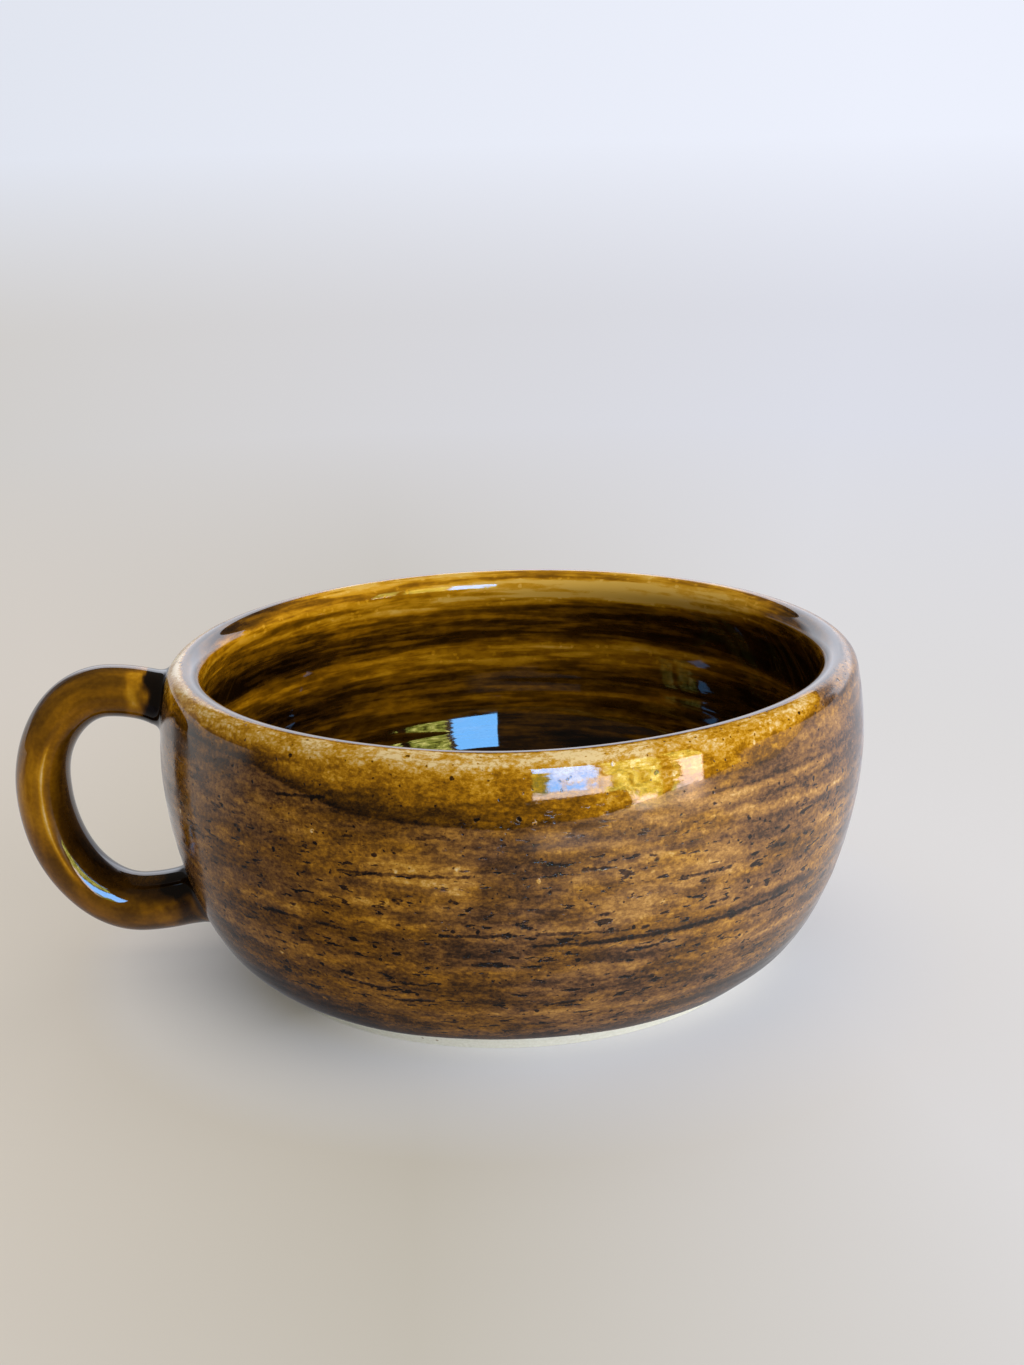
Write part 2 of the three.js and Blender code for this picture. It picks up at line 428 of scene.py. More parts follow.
@dataclass(frozen=True)
class Cloud:
    """Cloudy noise in the glass, cut off between two of its values, so that a narrow cut leaves edges."""

    size: tuple[float, float, float]
    detail: float
    cut: tuple[float, float]
    gives: tuple[float, float]
    relief: float = 0.0
    ends_at: float = 0.0
    fineness: float = 0.5

    def lay(self, tree: NodeTree, lie: Source) -> Node:
        """Adds the cloud's nodes.

        Args:
            tree: the node tree.
            lie: place across and along the coat; a patch's size in millimetres is taken along its axes.

        Returns:
            The depth it gives: its first value below the cut, its second above. Where it has an end,
            it fades over the last quarter of the way there.
        """
        per_patch = tuple(1 / (size * MM) for size in self.size)
        scaled = add_node(tree, "Mapping", named={"Vector": lie, "Scale": per_patch})
        noise = add_node(
            tree,
            "TexNoise",
            named={"Vector": scaled, "Scale": 1.0, "Detail": self.detail, "Roughness": self.fineness},
        )
        cloud = add_node(
            tree, "MapRange", noise, *self.cut, *self.gives, interpolation_type="SMOOTHSTEP"
        )
        if not self.ends_at:
            return cloud
        along = add_node(tree, "SeparateXYZ", lie).outputs["Z"]
        end = self.ends_at * MM
        fade = add_node(tree, "MapRange", along, end, 0.75 * end, 0.0, 1.0)
        return add_node(tree, "Math", cloud, fade, operation="MULTIPLY")


@dataclass(frozen=True)
class Fleck:
    """Spots at random places: one in a share of the cells of a size. Some lie only in thin glass."""

    cell: float
    share: float
    radius: float
    depth: float
    relief: float
    in_thin_glass: bool = False

    def lay(self, tree: NodeTree, place: Source, thin: Source) -> Node:
        """Adds the flecks' nodes.

        Args:
            tree: the node tree.
            place: the coat's coordinates with ragged edges.
            thin: 1 where the glass is thin.

        Returns:
            The depth they give, 0 between them.
        """
        cells = add_node(tree, "TexVoronoi", named={"Vector": place, "Scale": 1 / (self.cell * MM)})
        edge = self.radius / self.cell
        full = FULL_WITHIN * edge
        spot = add_node(
            tree, "MapRange", cells, edge, full, 0.0, self.depth, interpolation_type="SMOOTHSTEP"
        )
        draw = add_node(tree, "SeparateColor", cells.outputs["Color"])
        chosen = add_node(tree, "Math", draw, self.share, operation="LESS_THAN")
        fleck = add_node(tree, "Math", spot, chosen, operation="MULTIPLY")
        if self.in_thin_glass:
            fleck = add_node(tree, "Math", fleck, thin, operation="MULTIPLY")
        return fleck


@dataclass(frozen=True)
class FirstCoat:
    """The coat that the second dip didn't cover. It is browner and looks deeper, is a little matt in
    broad clouds, and has narrow dark furrows. Its darker colours are grey-mauve: its own browner glass with
    a painted sheen of the pale paper. It stays glossier in an upright stretch left of the front.
    """

    stops: Stops
    roughness: float = 0.2
    dulling: Cloud = Cloud((20.0, 20.0, 6.0), 3.0, (0.4, 0.56), (0.35, 1.0))
    dulled_to: float = 0.1
    glossier_at: float = -27.0
    glossier_within: float = 8.0
    glossier_up_to: float = 26.0
    least_dulled: float = 0.35
    added_depth: float = 0.16
    depth_fades_over: float = 1.2
    furrow_breadth: float = 0.5
    furrow_edge: float = 0.12
    furrow_depth: float = 0.36
    furrow_relief: float = -0.12

    def layers(self, tree: NodeTree, above: Source, aside: Source) -> list[tuple[Node, float]]:
        """What the coat and its furrows add to the depth.

        Args:
            tree: the node tree.
            above: height above the second dip's edge, in millimetres.
            aside: distance to the nearest furrow, in millimetres.

        Returns:
            The depth of each and how high it stands.
        """
        added = add_node(tree, "MapRange", above, 0.0, self.depth_fades_over, self.added_depth, 0.0)
        half, edge = self.furrow_breadth / 2, self.furrow_edge
        furrow = add_node(tree, "MapRange", aside, half + edge, half - edge, 0.0, self.furrow_depth)
        return [(added, 0.0), (furrow, self.furrow_relief)]

    def matt(self, tree: NodeTree, lie: Source, above: Source) -> Node:
        """How matt the glass is, from 0 to 1.

        Args:
            tree: the node tree.
            lie: place across and along the coat.
            above: height above the second dip's edge, in millimetres.

        Returns:
            The last node, whose value it is.
        """
        across = add_node(tree, "SeparateXYZ", lie)
        offset = add_node(tree, "Math", across, self.glossier_at * MM, operation="SUBTRACT")
        away = add_node(tree, "Math", offset, operation="ABSOLUTE")
        near, far = self.glossier_within * MM, self.glossier_up_to * MM
        share = add_node(tree, "MapRange", away, near, far, self.least_dulled, 1.0)
        dulled = add_node(tree, "Math", self.dulling.lay(tree, lie), share, operation="MULTIPLY")
        return add_node(tree, "MapRange", above, -self.dulled_to, self.dulled_to, dulled, 0.0)


@dataclass(frozen=True)
class AmberGlaze:
    """Iron-amber stoneware glaze, poured and fired to a clear gloss over pale clay.

    The glass is coloured through, so the clay shows gold where it ran thin and near black where it
    pooled. Iron draws out into patches and ragged dark dashes along the turning, and gas left pits.
    """

    name: str
    clouds: tuple[Cloud, ...]
    flecks: tuple[Fleck, ...] = ()
    stops: Stops = (
        (0.00, "f2d496"),
        (0.09, "d9ad5c"),
        (0.20, "cf9720"),
        (0.30, "b57c0c"),
        (0.45, "8a5a06"),
        (0.60, "644004"),
        (0.76, "402603"),
        (1.00, "140a02"),
    )
    first_coat: FirstCoat | None = None
    ior: float = 1.56
    roughness: float = 0.03
    ragged: float = 0.5
    thin_glass: tuple[float, float] = (0.2, 0.5)

    def build(self) -> Material:
        """Makes the material: a depth of glass at each point, turned to a colour and to relief."""
        material, tree = new_material(self.name)
        lie = add_node(tree, "Attribute", attribute_name="lie").outputs["Vector"]
        glass = add_node(tree, "Attribute", attribute_name="glass").outputs["Vector"]
        poured, above, aside = add_node(tree, "SeparateXYZ", glass).outputs
        wobble = add_node(tree, "TexNoise", named={"Vector": lie, "Scale": 1 / MM, "Detail": 3.0})
        reach = 2 * self.ragged
        place = add_node(
            tree, "VectorMath", wobble.outputs["Color"], (reach * MM,) * 3, lie, operation="MULTIPLY_ADD"
        )
        thin = add_node(tree, "MapRange", poured, *self.thin_glass, 1.0, 0.0)
        layers = [(cloud.lay(tree, lie), cloud.relief) for cloud in self.clouds]
        layers += [(fleck.lay(tree, place, thin), fleck.relief) for fleck in self.flecks]
        if self.first_coat:
            sway = add_node(tree, "Math", wobble, 0.5, operation="SUBTRACT")
            above, aside = (
                add_node(tree, "Math", sway, reach, part, operation="MULTIPLY_ADD")
                for part in (above, aside)
            )
            layers += self.first_coat.layers(tree, above, aside)

        depth, relief = poured, 0.0
        for layer, height in layers:
            depth = add_node(tree, "Math", depth, layer, operation="ADD")
            relief = add_node(tree, "Math", layer, height, relief, operation="MULTIPLY_ADD")
        colour, roughness = add_node(tree, "ValToRGB", depth, stops=self.stops), self.roughness
        if self.first_coat:
            matt = self.first_coat.matt(tree, lie, above)
            dull = add_node(tree, "ValToRGB", depth, stops=self.first_coat.stops)
            colour = add_node(
                tree, "Mix", matt, named={COLOUR_A: colour, COLOUR_B: dull}, data_type="RGBA"
            )
            roughness = add_node(
                tree, "MapRange", matt, 0.0, 1.0, self.roughness, self.first_coat.roughness
            )
        surface = add_node(tree, "Bump", named={"Height": relief, "Strength": 1.0, "Distance": MM})
        shader = add_node(
            tree,
            "BsdfPrincipled",
            named={"Base Color": colour, "Roughness": roughness, "IOR": self.ior, "Normal": surface},
        )
        add_node(tree, "OutputMaterial", shader)
        return material


PATCHES = Cloud((14.0, 14.0, 3.6), 2.0, (0.36, 0.62), (-0.07, 0.07))
BLOTCHES = Cloud((4.6, 4.6, 1.6), 5.0, (0.38, 0.62), (-0.09, 0.09), 0.004, fineness=0.62)
GRAIN = Cloud((0.9, 0.9, 0.65), 6.0, (0.36, 0.64), (-0.12, 0.12), 0.0012, fineness=0.75)
DASHES = Cloud((3.2, 3.2, 0.95), 4.0, (0.62, 0.64), (0.0, 0.42), -0.06, 52.0)
PITS = Fleck(3.2, 0.4, 0.5, 0.5, -0.04)
PINHOLES = Fleck(1.4, 0.45, 0.24, 0.4, -0.05)
PALE_SPECKS = Fleck(1.7, 0.5, 0.55, -0.16, -0.02, True)
CHIPS = Fleck(6.0, 0.35, 0.55, -0.32, -0.12)

POURED_OUTSIDE = AmberGlaze(
    "amber_glaze_poured_outside",
    (PATCHES, BLOTCHES, GRAIN, DASHES),
    (PITS, PINHOLES, PALE_SPECKS, CHIPS),
    # The first coat's darker stops are grey-mauve: its own browner glass with a painted sheen of the pale
    # paper.
    first_coat=FirstCoat(
        stops=(
            (0.00, "f2e0b8"),
            (0.10, "e0bc7c"),
            (0.20, "d2a258"),
            (0.30, "be8b45"),
            (0.45, "9a6d36"),
            (0.60, "77512e"),
            (0.76, "4a311d"),
            (1.00, "160a05"),
        )
    ),
)
POURED_INSIDE = AmberGlaze(
    "amber_glaze_poured_inside",
    (
        Cloud((14.0, 14.0, 1.3), 4.0, (0.38, 0.6), (-0.12, 0.12)),
        Cloud((3.2, 3.2, 1.4), 5.0, (0.36, 0.64), (-0.06, 0.06), fineness=0.6),
    ),
    (PALE_SPECKS,),
    stops=(
        (0.00, "eaba52"),
        (0.12, "dca22c"),
        (0.20, "cf9418"),
        (0.30, "b57c0c"),
        (0.45, "8a5a06"),
        (0.60, "644004"),
        (0.76, "3c2303"),
        (1.00, "120802"),
    ),
)
DIPPED_HANDLE = AmberGlaze(
    "amber_glaze_on_handle",
    (
        Cloud((3.0, 3.0, 9.0), 2.0, (0.36, 0.62), (-0.06, 0.06)),
        Cloud((0.8, 0.8, 0.8), 2.0, (0.3, 0.7), (-0.03, 0.03), 0.01),
    ),
)


@dataclass(frozen=True)
class PaleStoneware:
    """Pale stoneware, thrown and turned with a metal tool, bare from the kiln: matt, with a fine sandy
    grain and a few iron specks."""

    name: str
    light: str = "f4f3e4"
    dark: str = "e6e4d2"
    iron: str = "9a8462"
    roughness: float = 0.62
    grain_size: float = 0.6
    grain_relief: float = 0.05
    speck_cell: float = 3.2
    speck_radius: float = 0.32
    speck_strength: float = 0.8

    def build(self) -> Material:
        """Makes the material from a sandy noise and sparse specks."""
        material, tree = new_material(self.name)
        place = add_node(tree, "TexCoord").outputs["Object"]
        per_grain, per_cell = 1 / (self.grain_size * MM), 1 / (self.speck_cell * MM)
        grain = add_node(tree, "TexNoise", named={"Vector": place, "Scale": per_grain, "Detail": 4.0})
        shade = add_node(tree, "ValToRGB", grain, stops=((0.3, self.dark), (0.7, self.light)))
        cells = add_node(tree, "TexVoronoi", named={"Vector": place, "Scale": per_cell})
        edge = self.speck_radius / self.speck_cell
        speck = add_node(tree, "MapRange", cells, edge, FULL_WITHIN * edge, 0.0, self.speck_strength)
        colour = add_node(
            tree, "Mix", speck, named={COLOUR_A: shade, COLOUR_B: linear(self.iron)}, data_type="RGBA"
        )
        depth = self.grain_relief * MM
        surface = add_node(tree, "Bump", named={"Height": grain, "Strength": 1.0, "Distance": depth})
        shader = add_node(
            tree,
            "BsdfPrincipled",
            named={"Base Color": colour, "Roughness": self.roughness, "Normal": surface},
        )
        add_node(tree, "OutputMaterial", shader)
        return material


# Marks in the glass


@dataclass(frozen=True)
class Streak:
    """A line drawn by a finger or a tool while the bowl turned, where the glass lies deeper or thinner.
    Its ends are an angle and a height each."""

    start: tuple[float, float]
    end: tuple[float, float]
    breadth: float
    depth: float
    shows: Band = Band((0.0, 0.12), (0.8, 1.0))

    def lay(self, angle: Array, height: Array) -> Array:
        """What the streak adds to the depth: a bell across its line, fading out at both ends."""
        share = (angle - self.start[0]) / (self.end[0] - self.start[0])
        line = self.start[1] + (self.end[1] - self.start[1]) * share
        return self.depth * self.shows.at(share) * bump(height, line, self.breadth)


@dataclass(frozen=True)
class Patch:
    """A patch of deeper or thinner glass with its own edges, such as where one pour overlaps another."""

    depth: float
    sides: Bell | Band
    levels: Bell | Band

    def lay(self, side: Array, level: Array) -> Array:
        """What the patch adds to the depth: full where it lies both sideways and by level."""
        return self.depth * self.sides.at(side) * self.levels.at(level)


@dataclass(frozen=True)
class Places:
    """Where the points of the bowl lie: as a share of a turn, as an angle in degrees, where -90 faces
    the viewer and 180 the handle, as a distance from the glaze line, and as a height."""

    turn: Array
    angle: Array
    along: Array
    height: Array


@dataclass(frozen=True)
class Coat:
    """How a coat lies on the bowl. Depths of glass go from 0 thin to 1 thick: one for each height, and
    what marks, soft patches and finger rings add to it. The tilt raises the heights at the side away
    from the handle and lowers them at the handle."""

    depths: Stations
    marks: tuple[Streak | Patch, ...]
    mottles: tuple[Mottle, ...]
    ring_pitches: tuple[float, ...]
    ring_seed: int
    ring_height: float
    ring_thinning: float
    tilt: float = 0.0

    def rings(self, at: Places) -> Array:
        """The finger rings' height at each place, about -1 to 1."""
        return finger_rings(at.turn, at.along, self.ring_pitches, self.ring_seed)

    def depth(self, at: Places, rings: Array) -> Array:
        """Depth of glass.

        Args:
            at: the places.
            rings: the finger rings' height there, about -1 to 1.

        Returns:
            The depth at each place.
        """
        level = at.height - self.tilt * np.cos(np.radians(at.angle))
        depth = np.interp(level, *np.transpose(self.depths)) - self.ring_thinning * rings
        for mark in self.marks:
            depth += mark.lay(at.angle, at.height)
        for mottle in self.mottles:
            depth += mottle.at(at.turn, at.along)
        return depth


# Thin on the lip, amber under it and browner below.
OUTER_COAT = Coat(
    depths=(
        (4.6, 0.66), (8.5, 0.54), (11.5, 0.49), (17.0, 0.46), (21.0, 0.44), (25.0, 0.48), (27.0, 0.49),
        (29.0, 0.43), (31.0, 0.4), (33.0, 0.38), (36.0, 0.4), (38.0, 0.38), (41.0, 0.4), (46.0, 0.38),
        (48.5, 0.44), (50.0, 0.48), (51.5, 0.49), (52.5, 0.44), (54.0, 0.35), (55.5, 0.28), (56.5, 0.19),
        (57.6, 0.08), (58.3, 0.04),
    ),
    marks=(
        # the lip: its crown at the back, its edge right of the front, and its right side
        Patch(0.5, Bell(92.0, 44.0), Band((57.6, 58.2))),
        Patch(0.12, Band((-76.0, -60.0), (-40.0, -33.0)), Bell(57.2, 1.6)),
        Patch(0.34, Band((-40.0, -33.0), (20.0, 50.0)), Band((55.0, 56.5))),
        # the wall: deeper from the right round the back, darker low down at two places, a thin patch right
        # of the front, and a paler patch on the right that is painted sheen
        Patch(0.05, Band((-46.0, -30.0)), Band(fall=(52.0, 55.0))),
        Patch(0.25, Bell(-150.0, 22.0), Band(fall=(9.0, 15.0))),
        Patch(0.25, Bell(-36.0, 16.0), Band(fall=(9.0, 15.0))),
        Patch(-0.1, Bell(-72.0, 10.0), Bell(49.0, 3.5)),
        # Painted sheen: paler glass on the right wall where it catches the window's glow.
        Patch(-0.11, Bell(-38.0, 13.0), Band((9.0, 13.0), (38.0, 46.0))),
        # pours that overlap
        Patch(0.17, Band((-98.6, -98.1), (-88.0, -84.0)), Band((29.0, 32.0), (40.0, 43.0))),
        Patch(0.08, Band((-103.6, -103.0), (-64.0, -60.0)), Band((13.0, 15.0), (26.0, 28.0))),
        Patch(-0.1, Band((-118.0, -109.0), (-102.0, -98.0)), Band((33.0, 38.0), (42.0, 47.0))),
        Patch(-0.1, Band((-78.0, -70.0), (-59.0, -55.0)), Band((28.0, 32.0), (34.0, 38.0))),
        # finger streaks
        Streak((-92.0, 24.8), (-46.0, 24.6), 0.8, -0.14),
        Streak((-124.0, 33.2), (-98.0, 33.2), 0.9, -0.2),
        Streak((-64.0, 48.0), (-28.0, 47.9), 0.5, -0.14),
        Streak((-66.0, 49.1), (-36.0, 48.9), 0.35, 0.16),
        Streak((-64.0, 46.2), (-33.0, 46.3), 0.45, 0.2),
        Streak((-64.0, 45.3), (-28.0, 41.9), 0.6, -0.14),
        Streak((-64.0, 43.4), (-32.0, 40.6), 0.45, 0.2),
        Streak((-60.0, 27.2), (-40.0, 27.4), 0.7, 0.2),
    ),
    mottles=(Mottle(0.11, 13, 12.0, 1386), Mottle(0.055, 37, 4.0, 3622)),
    ring_pitches=(2.1, 2.9, 4.7, 8.3),
    ring_seed=3,
    ring_height=0.035,
    ring_thinning=0.08,
)

# Gold at the rim, darker below in broad rings and near black on the floor.
INNER_COAT = Coat(
    depths=(
        (9.5, 0.9), (24.0, 0.78), (26.0, 0.74), (28.0, 0.55), (29.5, 0.64), (31.0, 0.56), (34.0, 0.7),
        (36.5, 0.68), (39.0, 0.42), (40.5, 0.33), (41.5, 0.25), (42.3, 0.32), (44.0, 0.62), (46.0, 0.7),
        (49.0, 0.55), (51.2, 0.48), (52.2, 0.26), (53.2, 0.24), (54.5, 0.34), (56.0, 0.22), (57.4, 0.28),
        (58.3, 0.18),
    ),
    marks=(
        # left of the back
        Patch(0.1, Band((108.0, 142.0)), Band((11.0, 22.0), (52.0, 55.0))),
        Patch(0.15, Band((108.0, 142.0)), Bell(44.5, 1.5)),
        # the right side, darker: painted shade where the wall faces away from the window
        Patch(0.35, Band((-54.0, -32.0), (32.0, 54.0)), Band((11.0, 22.0), (40.0, 44.0))),
        Patch(0.4, Band((-40.0, -14.0), (14.0, 40.0)), Band((40.0, 44.0))),
        # right of the back
        Patch(0.3, Bell(50.0, 14.0), Bell(30.0, 1.2)),
        Patch(0.2, Bell(48.0, 26.0), Bell(48.5, 4.0)),
        # Paler high up: painted light where the window's light falls on the back wall over the near rim.
        Patch(-0.32, Bell(65.0, 32.0), Band((52.4, 53.4), (56.8, 57.6))),
    ),
    mottles=(Mottle(0.09, 9, 5.0, 21), Mottle(0.08, 31, 1.8, 22)),
    ring_pitches=(3.1, 4.7, 7.3, 11.0),
    ring_seed=8,
    ring_height=0.03,
    ring_thinning=0.06,
    tilt=0.75,
)


# The bowl


@dataclass
class Bowl:
    """The thrown bowl: its wall with the lip and floor, its foot, and the coats of glaze inside and out.

    The sizes are the CAD's, measured over the glaze.
    """

    height: float = 58.6
    belly_radius: float = 65.0
    belly_below_lip: float = 16.7
    lip_drawn_in: float = 1.35
    lip_thickness: float = 7.2
    wall_thickness: float = 6.0
    well_radius: float = 42.0
    floor_thickness: float = 5.6
    glaze: float = 0.5
    outer_fullness: float = 1.73
    inner_fullness: float = 1.9
    foot_radius: float = 46.9
    foot_flare: float = 2.3
    foot_width: float = 5.6
    foot_height: float = 3.9
    foot_edge: float = 0.6
    glaze_line: float = 4.4

    columns: int = 384
    clay_columns: int = 256
    wall_points: int = 400
    upper_points: int = 60
    lip_points: int = 120
    easing: float = 0.8
    lip_begins: float = 54.0
    wall_step: float = 0.32
    lip_step: float = 0.26
    floor_step: float = 2.0
    foot_step: float = 0.3
    recess_hub: float = 2.0
    recess_step: float = 3.0
    outer_back_rings: int = 10
    inner_back_rings: int = 30
    clay_takes_every: int = 3

    lean: float = 1.1
    lean_bow: float = 0.2
    lip_dip: float = 0.45
    lip_dip_at: Bell = Bell(-91.0, 24.0)
    lip_dip_power: int = 5
    line_wave: Mottle = Mottle(0.25, 23, 1.0, 5)
    line_wave_reach: Band = Band(fall=(0.5, 5.0))
    ring_strength: float = 0.55
    ring_mottle: Mottle = Mottle(0.45, 7, 11.0, 4)
    rings_begin: Band = Band((1.0, 6.0))
    crown_without_rings: float = 14.0
    crown_blend: float = 3.0

    outer: Coat = OUTER_COAT
    inner: Coat = INNER_COAT
    crown_depth: float = 0.75
    on_crown: Band = Band((-1.0, 0.2), (2.6, 4.2))
    thin_crown: Band = Band((8.0, 24.0), (118.0, 160.0))
    second_dip: Stations = (
        (-180.0, 54.5), (-157.0, 53.6), (-141.0, 53.4), (-134.0, 53.0), (-130.6, 51.9), (-125.0, 50.5),
        (-117.7, 48.4), (-109.0, 47.7), (-95.0, 46.9), (-81.0, 48.3), (-67.0, 51.4), (-52.0, 51.6),
        (-46.0, 53.8), (-38.0, 56.9), (-34.0, 59.6), (150.0, 59.6), (180.0, 54.5),
    )
    dip_pool: Patch = Patch(0.24, Band((-175.0, -155.0), (-104.0, -84.0)), Band((-0.2, 0.1), (1.2, 3.5)))
    furrow_reach: float = 3.0
    furrows: tuple[Stations, ...] = (
        ((-91.5, 26.1), (-45.2, 26.1)), ((-84.0, 25.9), (-56.0, 25.8)), ((-118.8, 38.4), (-99.2, 39.0)),
        ((-136.2, 27.9), (-127.0, 27.9)), ((-124.0, 27.8), (-118.6, 27.5)), ((-104.0, 28.1), (-92.7, 28.3)),
        ((-130.0, 49.3), (-121.0, 50.3)), ((-90.0, 28.5), (-77.9, 27.8)), ((-93.0, 30.5), (-90.0, 29.3)),
        ((-76.5, 23.5), (-71.0, 23.7)), ((-68.6, 35.7), (-60.0, 35.3)), ((-83.6, 39.6), (-78.7, 39.4)),
        ((-88.5, 36.4), (-87.4, 35.3)), ((-104.6, 36.2), (-104.3, 34.8)), ((-102.3, 34.7), (-100.8, 34.2)),
        ((-110.7, 34.2), (-109.7, 33.7)), ((-120.9, 17.3), (-113.7, 16.1)), ((-110.8, 17.9), (-106.9, 18.0)),
        ((-112.8, 14.0), (-106.1, 14.6)), ((-99.5, 22.6), (-93.3, 22.4)), ((-73.6, 39.5), (-72.4, 39.8)),
        ((-65.0, 33.7), (-63.2, 33.6)), ((-63.0, 29.6), (-59.2, 29.5)), ((-52.7, 36.7), (-48.8, 36.1)),
        ((-74.0, 17.4), (-70.6, 17.2)), ((-88.2, 13.7), (-82.4, 14.3)), ((-80.7, 31.1), (-79.2, 31.2)),
        ((-74.3, 27.5), (-72.8, 27.9)),
    )

    outline: Array = field(init=False, repr=False)
    crown: int = field(init=False)

    def __post_init__(self) -> None:
        """Works out the outline and the place of its highest point once."""
        self.outline, self.crown = self._outline()

    @property
    def belly_height(self) -> float:
        """Height of the widest part."""
        return self.height - self.belly_below_lip

    @property
    def foot_top(self) -> float:
        """Outer radius of the foot where it meets the wall."""
        return self.foot_radius + self.foot_flare

    @property
    def lip_radius(self) -> float:
        """Radius of the lip's half round."""
        return self.lip_thickness / 2

    @property
    def lip_centre(self) -> tuple[float, float]:
        """Radius and height of the centre of the lip's half round."""
        return self.belly_radius - self.lip_drawn_in - self.lip_radius, self.height - self.lip_radius

    def _wall(self, bottom: float, belly: float, low: float, first: float, fullness: float) -> Array:
        """The curve from a flat bottom out to the upright belly, by equal steps of an angle:
        ((r - bottom) / (belly - bottom))^n + ((belly height - z) / (belly height - low))^n = 1.

        Args:
            bottom: radius where the curve starts level.
            belly: radius where it is upright.
            low: the height where it starts level.
            first: the height of the first point that is kept.
            fullness: the exponent n.

        Returns:
            Points of radius and height, upward.
        """
        rise = self.belly_height - low
        start = np.arccos(((self.belly_height - first) / rise) ** (fullness / 2))
        angle = np.linspace(start, np.pi / 2, self.wall_points)
        radius = bottom + (belly - bottom) * np.sin(angle) ** (2 / fullness)
        return np.stack([radius, self.belly_height - rise * np.cos(angle).clip(0) ** (2 / fullness)], 1)

    def _upper(self, belly: float, side: float) -> Array:
        """The parabola from the upright belly to the side of the lip: r = belly + (side - belly) t^2."""
        t = np.linspace(0, 1, self.upper_points)
        return np.stack([belly + (side - belly) * t * t,
                         self.belly_height + (self.lip_centre[1] - self.belly_height) * t], 1)

    def _outline(self) -> tuple[Array, int]:
        """The glazed surface's radius and height, from the bead at the glaze line up the outside, over
        the lip and down to the axis.

        Returns:
            The radius and height of each ring, and the number of the highest ring.
        """
        radius, height = self.lip_centre
        well = self.foot_height + self.floor_thickness
        half_turn = np.radians(np.linspace(0, 180, self.lip_points))[1:, None]
        profile = eased(np.concatenate([
            self._wall(self.foot_top, self.belly_radius, self.foot_height - self.glaze, self.glaze_line,
                       self.outer_fullness),
            self._upper(self.belly_radius, radius + self.lip_radius)[1:],
            np.array([radius, height])
            + self.lip_radius * np.concatenate([np.cos(half_turn), np.sin(half_turn)], axis=1),
            self._upper(self.belly_radius - self.wall_thickness, radius - self.lip_radius)[::-1][1:],
            self._wall(self.well_radius, self.belly_radius - self.wall_thickness, well, well,
                       self.inner_fullness)[::-1][1:],
            [[self.floor_step / 2, well]],
        ]), self.easing)
        in_lip = np.flatnonzero(profile[:, 1] > self.lip_begins)
        well_edge = int(np.argmax(profile[in_lip[-1]:, 0] < self.well_radius)) + in_lip[-1]
        cuts = (0, in_lip[0], int(np.argmax(profile[:, 1])), in_lip[-1], well_edge, len(profile) - 1)
        steps = (self.wall_step, self.lip_step, self.lip_step, self.wall_step, self.floor_step)
        lengths = [resample(profile[a:b + 1], step)[:-1] for a, b, step in zip(cuts, cuts[1:], steps)]
        first_step = profile[1] - profile[0]
        up = first_step / np.linalg.norm(first_step)
        out = np.array([up[1], -up[0]])
        turn = np.radians(np.linspace(180, 0, BEAD_RINGS + 1))[:-1, None]
        half = self.glaze / 2
        bead = profile[0] - half * out + half * (np.cos(turn) * out - np.sin(turn) * up)
        return np.concatenate([bead, *lengths, profile[-1:]]), BEAD_RINGS + len(lengths[0]) + len(lengths[1])

    @staticmethod
    def _sideways(outline: Array) -> Array:
        """Unit vectors to the right of an outline, which is out of the clay all the way round."""
        along = np.gradient(outline, axis=0)
        along /= np.linalg.norm(along, axis=1, keepdims=True)
        return np.stack([along[:, 1], -along[:, 0]], axis=1)

    def _turn(self, outline: Array, columns: int) -> Array:
        """Turns an outline about the bowl's axis and sets it out of true as the hand left it: the foot
        stands a little nearer the handle than the lip, and the lip dips.

        Args:
            outline: radius and height of each ring.
            columns: points in a ring.

        Returns:
            Rings of points.
        """
        points = turned(outline, columns)
        height = outline[:, 1:]
        angle = np.linspace(-180, 180, columns, endpoint=False)
        share = (height / self.height).clip(0) ** self.lip_dip_power
        points[..., 0] += BOWL_AXIS - self.lean_at(height)
        points[..., 2] -= self.lip_dip * share * self.lip_dip_at.at(angle)
        return points

    def _glazed(self) -> tuple[Surface, Array]:
        """The whole glazed surface with its finger rings and its glass, and the clay's outline.

        Returns:
            The surface, and the radius and height of the clay under each of its rings.
        """
        out = self._sideways(self.outline)
        along = walked(self.outline)[:, None]
        angle = np.linspace(-180, 180, self.columns, endpoint=False)
        at = Places(*np.broadcast_arrays(angle / 360 + 0.5, angle, along, self.outline[:, 1:]))
        strength = self.ring_strength + self.ring_mottle.at(at.turn, at.along)
        strength *= self.rings_begin.at(at.along)
        strength *= 1 - bump(at.along, along[self.crown], self.crown_without_rings)
        outer, inner = self.outer.rings(at) * strength, self.inner.rings(at) * strength
        outside = between(self.crown - np.arange(len(along))[:, None], -self.crown_blend, self.crown_blend)
        push = outside * self.outer.ring_height * outer + (1 - outside) * self.inner.ring_height * inner
        outward = turned(out, self.columns)
        points = self._turn(self.outline, self.columns) + push[:, :, None] * outward
        points[..., 2] += self.line_wave.at(at.turn, 0 * at.along) * self.line_wave_reach.at(at.along)
        lie = turned(np.concatenate([self.outline[:, :1], along], axis=1), self.columns)
        glass = self._glass(at, outside, outer, inner)
        return Surface(points, grid_normals(points, outward), lie, glass), self.outline - self.glaze * out

